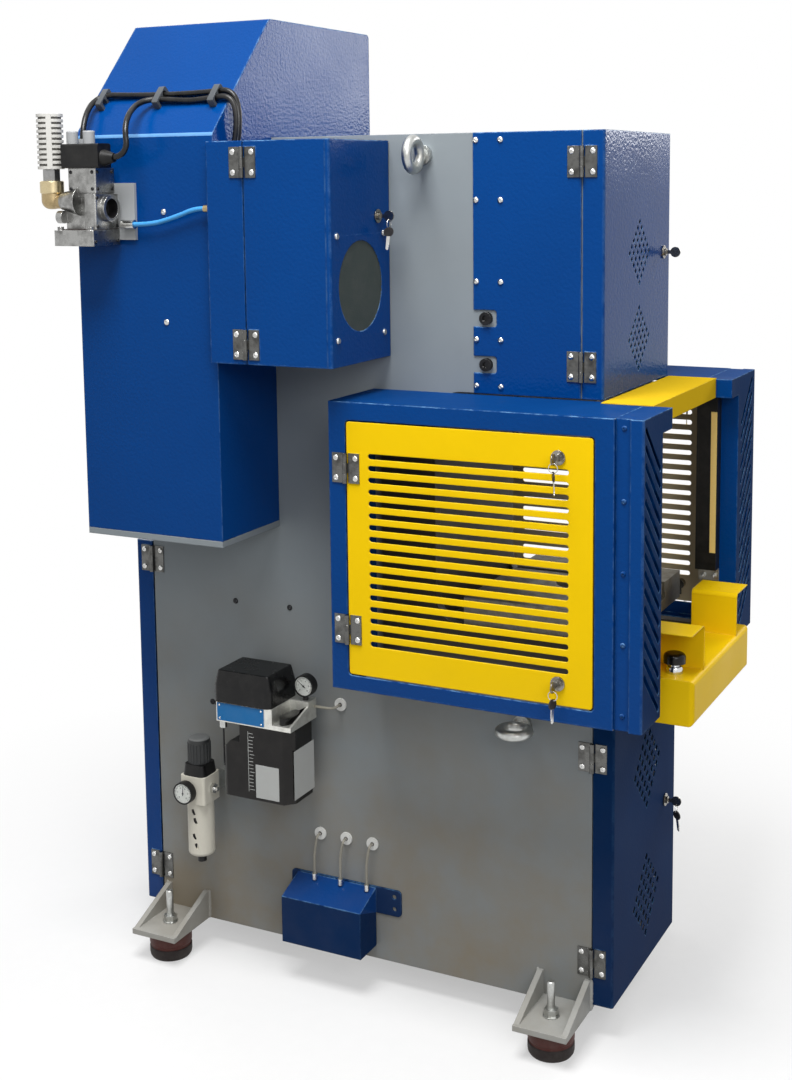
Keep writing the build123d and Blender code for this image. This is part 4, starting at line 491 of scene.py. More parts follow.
# Rear cover and motor box: folded and welded sheet, sprayed in a deep blue gloss enamel with an orange peel
# that breaks up what it mirrors; the cover's shoulder fold is coloured pale blue as a painted highlight.
# The box's door carries the motor's air inlet and filter.
machine_blue = painted(
    "machine_blue", (0, 61, 128), (128, 178, 222), cloud=(0.14, 3.0), rough=(0.17, 0.1),
    edge=(0.004, 0.9), bump=(0.55, 0.0011), gloss=0.075)
# Painted shade: a darker copy of the blue for the lower front door, the front units' faces and the lubricator
# box's sides.
painted_shade_blue = painted(
    "painted_shade_blue", (2, 42, 86), (96, 144, 190), cloud=(0.16, 4.0), edge=(0.004, 0.8),
    bump=(0.4, 0.0008), gloss=0.01)
# Painted highlight: a pale copy of the blue on the faces of the cover's shoulder fold.
fold_highlight_blue = painted(
    "fold_highlight_blue", (96, 150, 204), (190, 214, 232), cloud=(0.2, 30.0), rough=(0.2, 0.1), soil=0.0,
    edge=(0.003, 0.5), bump=(0.3, 0.0006))
# Painted reflection: the hinge steel is dark with large dark patches, for the dark surroundings it mirrors.
hinge_steel = metal("hinge_steel", (106, 106, 104), (30, 28, 26), 0.75, 160.0, 0.27, (1, 1, 9))
screw_steel = metal("screw_steel", (206, 206, 204), (120, 112, 100), 0.25, 300.0, 0.22)
filter_plate = moulded("filter_mat", (62, 70, 66), 0.85, 0.06, 420.0, bump=(0.5, 0.001))
SHOULDER_FOLD = ((-432.1, -427.0), (-337, 3), (1849.5, 1858.5))
FILTER_MAT = ((-438.5, -233.5), (-616, -611.5), (1448, 1654))
dress("rear_cover", machine_blue, (fold_highlight_blue, *SHOULDER_FOLD))
dress("motor_box", machine_blue)
dress("motor_box_door", machine_blue, (filter_plate, *FILTER_MAT), band(screw_steel, "y", -622, -617.1),
      band(hinge_steel, "x", -468, -457.05))


# Head panels and doors: the same blue sheet, the lower front door in its darker painted-shade copy, hung on
# butt hinges and shut with quarter-turn locks in chrome, coloured dark as a painted reflection. Each door's
# moving hinge leaf is bare steel, also dark as a painted reflection.
dress("head_panels", machine_blue)
dress("head_door", machine_blue, band(hinge_steel, "x", -222, -211.05))
dress("lower_front_door", painted_shade_blue, band(hinge_steel, "x", -219, -208.05))
dress("rear_lower_door", machine_blue, band(hinge_steel, "x", -219, -208.05))
dress("hinge_leaves", hinge_steel)
# Painted reflection: the lock chrome is dark with large dark patches, for the dark surroundings it mirrors.
chrome_painted_dark_reflection = metal("chrome_painted_dark_reflection", (150, 146, 138), (30, 28, 24), 0.8, 300.0, 0.14)
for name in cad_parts:
    if name.startswith("lock_"):
        dress(name, chrome_painted_dark_reflection)


# Key bunches: a split ring through the key's bow in the lock, and a spare key with a black moulded bow.
# Spring steel wire and nickel-plated blades; they turn with the lock that they hang from.
key_black = moulded("key_black", (24, 22, 26), 0.4, 0.1, 700.0)


def cut_plate(shape, outline, origin, across, up, thick, number=0):
    """Adds a plate to a bmesh, from an outline of (across, up) around an origin; sizes in millimetres."""
    half = across.cross(up).normalized() * thick / 2
    layers = [[shape.verts.new(origin + (across * u + up * v + half * side) / 1000) for u, v in outline]
              for side in (-1, 1)]
    faces = [shape.faces.new(layers[0][::-1]), shape.faces.new(layers[1])]
    for step in range(len(outline)):
        after = (step + 1) % len(outline)
        faces.append(shape.faces.new([layers[0][step], layers[0][after], layers[1][after], layers[1][step]]))
    for face in faces:
        face.material_index = number
    bmesh.ops.recalc_face_normals(shape, faces=faces)


RING_STEPS, WIRE_SIDES = 36, 8


def hoop(shape, centre, across, up, radius, wire_radius):
    """Adds a wire ring to a bmesh, in the plane of two directions; sizes in millimetres."""
    normal = across.cross(up).normalized()
    rings = []
    for step in range(RING_STEPS):
        turn_by = 2 * math.pi * step / RING_STEPS
        out = across * math.cos(turn_by) + up * math.sin(turn_by)
        rings.append([shape.verts.new(centre + (out * (radius + wire_radius * math.cos(a))
                                                + normal * wire_radius * math.sin(a)) / 1000)
                      for a in (2 * math.pi * side / WIRE_SIDES for side in range(WIRE_SIDES))])
    for step, ring in enumerate(rings):
        after = rings[(step + 1) % RING_STEPS]
        for side in range(WIRE_SIDES):
            beside = (side + 1) % WIRE_SIDES
            shape.faces.new([ring[side], after[side], after[beside], ring[beside]])
    bmesh.ops.recalc_face_normals(shape, faces=shape.faces)


BOW = [(10 * math.sin(math.radians(a)), -10 + 10 * math.cos(math.radians(a))) for a in range(-150, 151, 15)]
BLADE = [(-3.5, -18), (3.5, -18), (3.5, -36), (2, -38), (3.2, -40), (1.6, -42), (2.6, -44), (0.5, -47),
         (-3.5, -44)]
BOW_OUT, BOW_DROP, RING_R, RING_WIRE, RING_HOLE = 27.0, 7.0, 9.0, 0.9, 3.0
BOW_THICK, BLADE_THICK, KEY_LEAN = 3.0, 2.0, 0.25
KEYED = [
    ("motor_box", (-264, -617, 1687), FRONT, 25), ("front_door", (134, -1106, 396), FRONT, -30),
    ("grille_left_top", (-401, -1060, 1248), LEFT, 30), ("grille_left_bottom", (-401, -1060, 817), LEFT, -20),
    ("grille_right_top", (401, -1060, 1248), RIGHT, 20),
    ("grille_right_bottom", (401, -1060, 817), RIGHT, -25)]
for lock, spot, facing, swing in KEYED:
    bow = at(*spot) + facing * (BOW_OUT / 1000) - UP * (BOW_DROP / 1000)
    bunch = bmesh.new()
    hoop(bunch, bow - UP * (RING_R / 1000), facing.cross(UP), UP, RING_R, RING_WIRE)
    hang = bow - UP * ((2 * RING_R - RING_HOLE) / 1000)
    flat = Matrix.Rotation(math.radians(swing), 3, "Z") @ facing
    upright = Matrix.Rotation(math.radians(swing * KEY_LEAN), 3, facing.cross(-UP)) @ UP
    cut_plate(bunch, BOW, hang, flat, upright, BOW_THICK, 1)
    cut_plate(bunch, BLADE, hang, flat, upright, BLADE_THICK)
    keep("keys_" + lock, bunch, [screw_steel, key_black], "lock_" + lock)


# Panel screws: button heads with a hexagon socket on panels and hinges, and the two palm buttons' collars.
# Bright steel, painted over on the guard and blackened on the plate; each socket stands at its own angle.
button_head, given, made = rows_of(
    "button_head_screw", {"Head Radius": 0.0065, "Head Height": 0.004, "Socket Radius": 0.0026, "Seed": 4})
tree = button_head
ball = first_of(tree, "GeometryNodeMeshUVSphere", {"Segments": 24, "Rings": 14, "Radius": 1.0})
spot = first_of(tree, "GeometryNodeInputPosition")
parts = place(tree, "ShaderNodeSeparateXYZ", {0: spot}).outputs
upper = sum_of(tree, "MAXIMUM", parts["Z"], 0.0)
dome = vector_of(
    tree, times(tree, parts["X"], given["Head Radius"]), times(tree, parts["Y"], given["Head Radius"]),
    times(tree, upper, given["Head Height"]))
head = first_of(tree, "GeometryNodeSetPosition", {"Geometry": ball, "Position": dome})
key_hole = first_of(tree, "GeometryNodeMeshCylinder", {
    "Vertices": 6, "Radius": given["Socket Radius"], "Depth": given["Head Height"]})
raised = vector_of(tree, 0.0, 0.0, times(tree, given["Head Height"], 0.95))
key_hole = first_of(tree, "GeometryNodeTransform", {"Geometry": key_hole, "Translation": raised})
pair = {0: head, "Mesh 2": key_hole}
cut = first_of(tree, "GeometryNodeMeshBoolean", pair, operation="DIFFERENCE", solver="EXACT")
angle = place(tree, "FunctionNodeRandomValue", {2: 0.0, 3: math.pi, "Seed": given["Seed"]}).outputs[1]
spin = first_of(tree, "FunctionNodeAxisAngleToRotation", {"Axis": (0, 0, 1), "Angle": angle})
outward = outward_turn(tree, "Z")
driven = first_of(tree, "FunctionNodeRotateRotation", {0: outward, 1: spin}, rotation_space="LOCAL")
repeat(tree, given, made, {"Instance": cut, "Rotation": driven})


def screw_heads(name, spots, coat, body="frame", size=(0.0065, 0.004, 0.0026)):
    """Drives in heads of one size (radius, height and socket radius, metres) at (place, outward) points."""
    values = dict(zip(("Head Radius", "Head Height", "Socket Radius"), size))
    return grow(name, button_head, spots, {**values, "Material": coat}, body)


def outward_from(rows):
    """Each place with the way its screw head stands."""
    return [(at(*spot), LEFT if spot[0] < 0 else RIGHT) for spot in rows]


GUARD_HEAD, HINGE_HEAD = (0.0052, 0.0035, 0.002), (0.0063, 0.0036, 0.0019)
HEAD_LOW, HEAD_STEPS = 1330, (15, 109, 225, 387, 505)
head_rows = [(x, y, HEAD_LOW + z) for x in (-211, 211) for y in (-811, -864) for z in HEAD_STEPS]
guard_rows = [(x, -1184, 769 + 135 * step) for x in (-393, 393) for step in range(5)]
loose_rows = [(-432, -215, 1474), (-432, -215, 1699)]
dark_rows = [(-208, -219, 830), (-208, -359, 831), (-208, -150, 587)]
screws = screw_heads("panel_screw_heads", outward_from(head_rows + loose_rows), screw_steel)
screw_heads("guard_screw_heads", outward_from(guard_rows), machine_blue, size=GUARD_HEAD)
screw_heads("plate_screw_heads", outward_from(dark_rows), blued_steel)

HINGES = [(-211, -1035, -1, (1393, 1790), "head_door"), (-208, -1061, -1, (169, 604), "lower_front_door"),
          (-208, 3, 1, (171, 905), "rear_lower_door"), (-457, -423, -1, (1438, 1796), "motor_box_door"),
          (-401, -612.5, -1, (867, 1195), "grille_left"), (401, -612.5, -1, (867, 1195), "grille_right")]
LEAF, SCREW_OUT, SCREW_RISE = 2.5, 21.6, 20.0
fixed_spots = []
for wall, knuckle, away, heights, door in HINGES:
    outward = LEFT if wall < 0 else RIGHT
    leaves = {way: [(at(wall, knuckle + way * SCREW_OUT, z + rise) + outward * (LEAF / 1000), outward)
                    for z in heights for rise in (-SCREW_RISE, SCREW_RISE)] for way in (-away, away)}
    fixed_spots += leaves[-away]
    screw_heads("hinge_screws_" + door, leaves[away], screw_steel, door, size=HINGE_HEAD)
screw_heads("hinge_screws_frame", fixed_spots, screw_steel, size=HINGE_HEAD)

SEAM = 1e-6
BUTTON_X, BUTTON_Y, CONSOLE_TOP = (-180.5, 152.5), -1219, 795
COLLAR = [(11.2, 0, 0), (17, 0, 0), (17, 9, 0), (16, 12.5, 0), (14.5, 14, 0), (12, 14, 0), (11.2, 13.2, 0),
          (11.2, 0, 0)]
chrome = metal("lock_chrome", (214, 216, 218), (140, 140, 140), 0.15, 500.0, 0.12)
collars = bmesh.new()
for x in BUTTON_X:
    turn(collars, COLLAR, at(x, BUTTON_Y, CONSOLE_TOP), UP)
bmesh.ops.remove_doubles(collars, verts=collars.verts, dist=SEAM)
keep("palm_collars", collars, [chrome])
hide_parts("panel_screws")


# Guard: two folded blue boxes beside the tool space, slotted blue front units, yellow grille doors that shut
# against black stops, and the yellow bridge over the opening. Gloss enamel on sheet; the light curtains are
# black bars with amber windows on bolted feet. The guard tops, the units' front faces and the bridge are
# coloured in darker copies of their paint, as painted shade.
guard_yellow = painted(
    "guard_yellow", (244, 202, 12), (255, 226, 100), cloud=(0.08, 4.0), peel=240.0, rough=(0.32, 0.12),
    soil=0.15, edge=(0.003, 0.5), bump=(0.3, 0.0005), gloss=0.03)
inner_beige = painted(
    "inner_beige", (206, 190, 156), (228, 216, 190), cloud=(0.14, 6.0), peel=240.0, soil=0.2,
    edge=(0.002, 0.4), bump=(0.2, 0.0004), gloss=0.1)
# Painted shade: a darker copy of the blue for the guard tops.
top_shade_blue = painted(
    "top_shade_blue", (6, 58, 116), (128, 178, 222), cloud=(0.16, 4.0), edge=(0.004, 0.9),
    bump=(0.4, 0.0008), gloss=0.015)
# Painted shade: a darker copy of the yellow for the bridge.
bridge_shade_yellow = painted(
    "bridge_shade_yellow", (218, 180, 34), (248, 222, 110), cloud=(0.1, 4.0), peel=240.0, soil=0.15,
    edge=(0.003, 0.5), bump=(0.3, 0.0005), gloss=0.0)
black_plastic = moulded("black_plastic", (10, 10, 11), 0.4, 0.03)
amber_window = moulded("amber_window", (250, 216, 130), 0.25, 0.05, 400.0)
guard_top = band(top_shade_blue, "z", 1326.9, 1327.1)
dress("side_guards", machine_blue, guard_top)
dress("front_guards", machine_blue, guard_top, band(painted_shade_blue, "y", -1224.1, -1223.9))
dress("guard_bridge", bridge_shade_yellow)
dress("grille_left", guard_yellow, band(hinge_steel, "x", -412, -401.05),
      band(inner_beige, "x", -398.1, -397.9))
dress("grille_right", guard_yellow, band(hinge_steel, "x", 401.05, 412), band(inner_beige, "x", 397.9, 398.1))
dress("light_curtains", black_plastic, band(amber_window, "x", -258.9, -257),
      band(amber_window, "x", 229, 230.9))


def rectangle(wide, tall):
    """The corners of a rectangle that reaches this far to both sides of its middle."""
    return [(-wide, -tall), (wide, -tall), (wide, tall), (-wide, tall)]


def hexagon(radius):
    """A hexagon's corners around its middle."""
    corners = map(math.radians, range(0, 360, 60))
    return [(radius * math.cos(angle), radius * math.sin(angle)) for angle in corners]


DOOR_STOP = [(0, 0), (9.7, 0), (9.7, 1.3), (20, 1.3), (20, 3.3), (0, 3.3)]
WALL_INSIDE, STOP_Y, DOOR_MIDDLE, STOP_TALL = 399, -1141, 1031.5, 520
stops = bmesh.new()
for way in (1, -1):
    cut_plate(stops, DOOR_STOP, at(-way * WALL_INSIDE, STOP_Y, DOOR_MIDDLE), REAR, RIGHT * way, STOP_TALL)
keep("door_stops", stops, [black_plastic])

CURTAIN_Y, CURTAIN_Z, BOLT_APART, BOLT_Z = -1163, 883, 12, 880
FOOT_OFF, NUT_OFF, STUD_OFF, FOOT_THICK, NUT_THICK = 1.7, 5.7, 8.2, 3, 5
STUD = [(0, 0, 0), (3.5, 0, 0), (3.5, 6, 0), (2.5, 7, 0), (0, 7, 0)]
feet = bmesh.new()
for wall, way in ((-289, 1), (261, -1)):
    cut_plate(feet, rectangle(23, 14), at(wall + way * FOOT_OFF, CURTAIN_Y, CURTAIN_Z), REAR, UP, FOOT_THICK)
    for y in (CURTAIN_Y - BOLT_APART, CURTAIN_Y + BOLT_APART):
        cut_plate(feet, hexagon(6), at(wall + way * NUT_OFF, y, BOLT_Z), REAR, UP, NUT_THICK)
        turn(feet, STUD, at(wall + way * STUD_OFF, y, BOLT_Z), RIGHT * way, 16)
keep("curtain_feet", feet, [zinc_steel])


# Console: a folded yellow box with two shrouds, each over a black mushroom palm button on a chrome stem.
# A rounded strip closes the fold along each shroud's inner edge.
palm_black = moulded("palm_black", (10, 10, 11), 0.28, 0.04, 600.0)
dress("console", guard_yellow)
FOLD_OUT, FOLD_IN, FOLD_LONG, FOLD_STEPS = 10.05, 8.0, 98.0, 8
FOLD_Y, FOLD_Z = -1217, 875
quarter = [math.radians(90 * step / FOLD_STEPS) for step in range(FOLD_STEPS + 1)]
fold = [(FOLD_OUT * math.cos(angle), FOLD_OUT * math.sin(angle)) for angle in quarter]
fold += [(FOLD_IN * math.cos(angle), FOLD_IN * math.sin(angle)) for angle in reversed(quarter)]
folds = bmesh.new()
for middle, way in ((-147, 1), (119, -1)):
    cut_plate(folds, fold, at(middle, FOLD_Y, FOLD_Z), RIGHT * way, UP, FOLD_LONG)
keep("shroud_folds", folds, [guard_yellow])
for side in ("left", "right"):
    dress("palm_button_" + side, palm_black, band(chrome, "z", 774, 806))


# Air set on the cover: a blasted aluminium double valve on a grey plate, black connector plugs with grey
# caps, clipped cables, a brass elbow with its pale plastic silencer, and the blue hose to the motor box.
# Painted reflection: the valve's aluminium carries large dark patches, for the dark surroundings it mirrors.
valve_aluminium = metal(
    "blasted_aluminium", (164, 164, 162), (50, 48, 46), 0.7, 420.0, 0.27, edge=(0.0016, 0.9),
    bump=(0.4, 0.0004))
dull_brass = metal("dull_brass", (178, 158, 120), (98, 80, 54), 0.45, 260.0, 0.38)
union_nickel = metal("union_nickel", (206, 190, 152), (130, 110, 78), 0.4, 260.0, 0.3)
neck_grey = metal("neck_grey", (150, 150, 150), (90, 88, 84), 0.4, 300.0, 0.36)
plate_grey = moulded("plate_grey", (160, 163, 165), 0.45)
cap_grey = moulded("cap_grey", (158, 160, 162), 0.45)
cable_black = moulded("cable_black", (7, 7, 8), 0.34, 0.03, **{"Specular IOR Level": 0.4})
clip_grey = moulded("clip_grey", (74, 78, 82), 0.4)
silencer_grey = moulded("silencer_grey", (204, 203, 198), 0.45, 0.2)
groove_shade_grey = moulded("groove_shade_grey", (112, 110, 106), 0.6, 0.2)
hose_blue = moulded("hose_blue", (64, 150, 214), 0.3)
# Painted shade: near black on the faces inside the valve's ports and the bowl guard's slots.
bore_painted_shade = moulded("bore_painted_shade", (20, 20, 22), 0.4)
VALVE_BORE = ((-494.5, -453.5), (-111, -94), (1686.5, 1727.5))
HOSE_UNION = ((-462, -438), (-160, -120), (1655, 1695))
dress("valve_block", valve_aluminium, band(plate_grey, "x", -440.05, -431), (bore_painted_shade, *VALVE_BORE))
dress("solenoid_plugs", black_plastic, band(cap_grey, "z", 1838.05, 1866))
dress("silencer", silencer_grey, band(neck_grey, "z", 1763, 1787.9))
dress("brass_fittings", dull_brass, band(union_nickel, "z", 1737.9, 1764.1), (screw_steel, *HOSE_UNION))

# Painted shade: the silencer's core, in a darker grey than the fins, stands for the shade in the grooves.
CORE = [(0, 0, 0), (23.5, 0, 0), (23.5, 108, 0), (22, 110, 0), (0, 110, 0)]
core = bmesh.new()
turn(core, CORE, at(-490, 21, 1789), UP)
keep("silencer_core", core, [groove_shade_grey])

GASKET = [(-515.7, -108.7), (-440.2, -108.7), (-440.2, -14), (-515.7, -14)]
gasket = bmesh.new()
cut_plate(gasket, GASKET, at(0, 0, 1664.9), RIGHT, REAR, 1.6)
keep("valve_gasket", gasket, [dark_rubber])

VALVE_HEAD, VALVE_ROWS = (0.0038, 0.0028, 0.0016), (1747, 1781)
valve_spots = [(at(-502, y, z), LEFT) for y in (-92, -38) for z in VALVE_ROWS]
valve_spots += [(at(x, -100, z), FRONT) for x in (-495, -448) for z in VALVE_ROWS]
valve_spots += [(at(x, -108, z), FRONT) for x, z in ((-509, 1671), (-509, 1729), (-446, 1671))]
valve_spots += [(at(x, -110, 1641), FRONT) for x in (-520, -448)]
screw_heads("valve_screw_heads", valve_spots, blued_steel, size=VALVE_HEAD)


def flexible(name, route, diameter, coat, replaced):
    """A round cord on one smooth open line through a route of machine millimetres, in place of a CAD node."""
    line = bpy.data.curves.new(name, "CURVE")
    line.dimensions = "3D"
    line.bevel_depth = diameter / 2
    line.bevel_resolution = 6
    line.use_fill_caps = True
    spline = line.splines.new("NURBS")
    spline.points.add(len(route) - 1)
    for point, spot in zip(spline.points, route):
        point.co = (*at(*spot), 1.0)
    spline.order_u = 3
    spline.use_endpoint_u = True
    spline.resolution_u = 16
    line.materials.append(coat)
    run = show(name, line)
    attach(run, "frame")
    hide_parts(replaced)


HOSE, CABLE = 0.01, 0.012
HOSE_ROUTE = [(-449, -155, 1674), (-449, -198, 1674), (-449, -256, 1689), (-449, -304, 1706),
              (-449, -326, 1706)]
REAR_CABLE = [(-455, -35, 1835), (-455, -34, 1885), (-363, -4, 1944), (-363, -116, 1938), (-363, -262, 1938),
              (-363, -372, 1946), (-363, -353, 1838)]
FRONT_CABLE = [(-493.5, -118, 1809), (-493.5, -178, 1806), (-490, -166, 1884), (-380, -132, 1932),
               (-376, -236, 1923), (-376, -270, 1924), (-376, -374, 1934), (-376, -354, 1838)]
flexible("air_hose_run", HOSE_ROUTE, HOSE, hose_blue, "air_hose")
for name, route, length in (("rear_plug_cable", REAR_CABLE, 0.567), ("front_plug_cable", FRONT_CABLE, 0.509)):
    flexible(name, route, CABLE, cable_black, "solenoid_cables")

SLOPE_RUN, SLOPE_RISE = 224, 242
SLOPE_UP = Vector((SLOPE_RUN, 0, SLOPE_RISE)).normalized()
SLOPE_OUT = Vector((-SLOPE_RISE, 0, SLOPE_RUN)).normalized()
SADDLE_HALF, SADDLE_TALL, SADDLE_DEEP, SADDLE_ROUND, SADDLE_NOSE = 24.0, 19.0, 14.0, 5.0, 1.5
ARCH, ARCH_RISE, ARCH_STEPS, CABLE_APART = 7.0, 9.0, 12, 19.0
SADDLE_X, SADDLE_Y, SADDLE_Z = -364.8, (-28, -172, -308), 1926.6
saddle = [(-SADDLE_HALF, 0)]
for middle in (-CABLE_APART / 2, CABLE_APART / 2):
    saddle.append((middle - ARCH, 0))
    saddle += [(middle - ARCH * math.cos(angle), ARCH_RISE + ARCH * math.sin(angle))
               for angle in (math.pi * step / ARCH_STEPS for step in range(ARCH_STEPS + 1))]
    saddle.append((middle + ARCH, 0))
shoulder = [(SADDLE_HALF, SADDLE_TALL - SADDLE_ROUND), (SADDLE_HALF - SADDLE_NOSE, SADDLE_TALL - SADDLE_NOSE),
            (SADDLE_HALF - SADDLE_ROUND, SADDLE_TALL)]
saddle += [(SADDLE_HALF, 0), *shoulder, *((-along, rise) for along, rise in reversed(shoulder))]
clips = bmesh.new()
for y in SADDLE_Y:
    cut_plate(clips, saddle, at(SADDLE_X, y, SADDLE_Z), SLOPE_UP, SLOPE_OUT, SADDLE_DEEP)
clip_piece = keep("cable_saddles", clips, [clip_grey])
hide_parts("solenoid_cables")


# Filter regulator on the left plate: cream body and bowl guard, dark bonnet and knob, zinc bracket, and a
# round gauge with printed ticks and numbers, a needle and a domed window.
cream_plastic = moulded("cream_plastic", (216, 212, 198), 0.5, 0.15)
dark_plastic = moulded("dark_grey_plastic", (48, 50, 51), 0.5)
knob_top = moulded("knob_top", (104, 106, 106), 0.55)
BOWL_SLOTS = ((-303.2, -290), (-163, -149), (270, 376))
dress("regulator", cream_plastic, band(zinc_steel, "x", -242.9, -207), band(black_plastic, "z", 445.05, 471),
      band(black_plastic, "z", 230, 255.95), band(screw_steel, "y", -206, -188.05), (bore_painted_shade, *BOWL_SLOTS))
dress("regulator_knob", dark_plastic, band(knob_top, "z", 525, 530))
dress("gauges", black_plastic)

dial_ticks, given, made = rows_of(
    "dial_ticks", {"Tick Length": 0.003, "Tick Width": 0.0005, "Tick Depth": 0.0002})
tree = dial_ticks
size = vector_of(tree, given["Tick Length"], given["Tick Width"], given["Tick Depth"])
tick = first_of(tree, "GeometryNodeMeshCube", {"Size": size})
outward = {"Rotation": outward_turn(tree, "X"), "Vector": LEFT}
level = first_of(tree, "FunctionNodeAlignRotationToVector", outward, axis="Z", pivot_axis="X")
repeat(tree, given, made, {"Instance": tick, "Rotation": level})

dial_white = moulded("dial_white", (232, 230, 224), 0.35, 0.06, 500.0)
dial_ink = moulded("dial_ink", (28, 26, 26), 0.5, 0.1, 500.0)
gauge_glass = moulded("gauge_glass", (245, 248, 248), 0.08, 0.02, 300.0, bump=(0.02, 0.0001),
                      **{"Transmission Weight": 1.0, "IOR": 1.45})
FIRST, SWEEP, FULL_SCALE, PARTS, NUMBER_STEP = -135.0, 270.0, 10, 5, 2
FINE_AT, BOLD_AT, NUMBER_AT, NUMBER_TALL = 0.86, 0.83, 0.6, 0.24
FINE_LONG, BOLD_LONG, NEEDLE_TIP, NEEDLE_TAIL = 0.08, 0.14, 0.78, 0.24
FACE_LIFT, HAND_LIFT, HAND_THICK, INK_THICK, BOLD_WIDE = 0.0007, 0.0005, 0.4, 0.0001, 0.0007
HUB = [(0, 0, 0), (2.2, 0, 0), (2.2, 0.8, 0), (1.6, 1.0, 0), (0, 1.0, 0)]


def tick_marks(name, spots, coat, length, width=0.0005, depth=0.0002):
    """Prints bars of one size, in metres, on the left side along each point's direction."""
    values = {"Tick Length": length, "Tick Width": width, "Tick Depth": depth, "Material": coat}
    grow(name, dial_ticks, spots, values, "frame")


def dial(name, centre, radius, reading):
    """A round gauge face on the left side: enamelled plate, ticks, numbers, needle and a domed window."""
    def ray(angle):
        return FRONT * math.sin(math.radians(angle)) + UP * math.cos(math.radians(angle))

    plate = bmesh.new()
    rim = radius - 0.4
    turn(plate, [(0, 0, 0), (rim, 0, 0), (rim, 0.5, 0), (radius - 1.2, 0.6, 0), (0, 0.6, 0)], centre, LEFT)
    keep(name + "_face", plate, [dial_white])
    face = centre + LEFT * FACE_LIFT
    steps = FULL_SCALE * PARTS
    angles = [FIRST + SWEEP * step / steps for step in range(steps + 1)]
    fine = [(face + ray(a) * (radius * FINE_AT / 1000), ray(a)) for k, a in enumerate(angles) if k % PARTS]
    bold = [(face + ray(a) * (radius * BOLD_AT / 1000), ray(a)) for a in angles[::PARTS]]
    tick_marks(name + "_fine_ticks", fine, dial_ink, radius * FINE_LONG / 1000)
    tick_marks(name + "_bold_ticks", bold, dial_ink, radius * BOLD_LONG / 1000, BOLD_WIDE)
    numbers = bmesh.new()
    for number in range(0, FULL_SCALE + 1, NUMBER_STEP):
        words = bpy.data.curves.new("number", "FONT")
        words.body = str(number)
        words.size = radius * NUMBER_TALL / 1000
        words.align_x = "CENTER"
        words.align_y = "CENTER"
        words.extrude = INK_THICK
        holder = show("number", words)
        flat = baked(holder)
        spot = face + ray(FIRST + SWEEP * number / FULL_SCALE) * (radius * NUMBER_AT / 1000)
        flat.transform(Matrix.Translation(spot) @ Matrix((FRONT, UP, LEFT)).transposed().to_4x4())
        numbers.from_mesh(flat)
        bpy.data.objects.remove(holder)
    keep(name + "_numbers", numbers, [dial_ink])
    hand = bmesh.new()
    way = ray(FIRST + SWEEP * reading)
    tip, tail = radius * NEEDLE_TIP, -radius * NEEDLE_TAIL
    needle = [(-0.5, tip), (0.5, tip), (1.1, tail), (-1.1, tail)]
    cut_plate(hand, needle, face + LEFT * HAND_LIFT, way.cross(LEFT), way, HAND_THICK)
    turn(hand, HUB, face, LEFT, 24)
    keep(name + "_needle", hand, [dial_ink])
    pane = bmesh.new()
    rim = radius - 0.3
    turn(pane, [(0, 1.6, 0), (rim, 1.6, 0), (rim, 2.2, 0), (radius * 0.7, 2.6, 0), (radius * 0.35, 2.8, 0),
                (0, 2.9, 0)], centre, LEFT)
    keep(name + "_window", pane, [gauge_glass], crease=60)


dial("regulator_gauge", at(-327, -145, 412), 22, 0.52)


# Oil pump: a glossy near-black tank under a white die-cast head with a blue band, and a black lid. The tank
# has two blank labels, a printed level scale and a drain pipe, and a gauge stands on the head.
tank_brown = moulded("tank_plastic", (9, 6, 5), 0.16, 0.02, 500.0)
head_white = metal("cast_white", (222, 222, 216), (130, 126, 118), 0.4, 420.0, 0.46, bump=(0.4, 0.0004))
band_blue = moulded("pump_band", (8, 104, 166), 0.35)
lid_black = moulded("lid_black", (7, 7, 8), 0.24, 0.02, 300.0, bump=(0.1, 0.0002))
label_paper = moulded("label_film", (180, 182, 180), 0.45, 0.15, 300.0)
FILLER, GAUGE_STEM = (None, (-428, -396), (613.1, 628)), (None, (-252, -243), (632, 646))
dress("pump_reservoir", tank_brown)
dress("pump_head", head_white, band(band_blue, "x", -347, -345.05), (lid_black, *FILLER),
      (lid_black, *GAUGE_STEM))
dress("pump_lid", lid_black)

LABEL_THICK = 0.3
labels = bmesh.new()
cut_plate(labels, rectangle(29, 37), at(-345.15, -378, 483), FRONT, UP, LABEL_THICK)
cut_plate(labels, rectangle(42, 54), at(-290, -437.15, 503), RIGHT, UP, LABEL_THICK)
keep("tank_labels", labels, [label_paper])

TANK_FACE, SCALE_Y, SCALE_LOW, SCALE_STEP, SCALE_MARKS, LONG_BY = -345.1, -337, 462, 7.8, 17, 3
SCALE_WIDE, SCALE_THICK = 0.0012, 0.0003
level_marks = []
for step in range(SCALE_MARKS):
    middle = SCALE_Y - (0 if step % PARTS else LONG_BY)
    level_marks.append((at(TANK_FACE, middle, SCALE_LOW + SCALE_STEP * step), FRONT))
tick_marks("tank_scale", level_marks, label_paper, 0.012, SCALE_WIDE, SCALE_THICK)
scale_line = [(at(TANK_FACE, -331, 524), UP)]
tick_marks("tank_scale_line", scale_line, label_paper, 0.134, SCALE_WIDE, SCALE_THICK)
dial("pump_gauge", at(-264, -424, 679), 21, 0.3)

BAND_HEAD = (0.0024, 0.0014, 0.0009)
band_spots = [(at(-346.5, y, z), LEFT) for y in (-261, -366) for z in (611, 640)]
screw_heads("pump_band_screws", band_spots, screw_steel, size=BAND_HEAD)

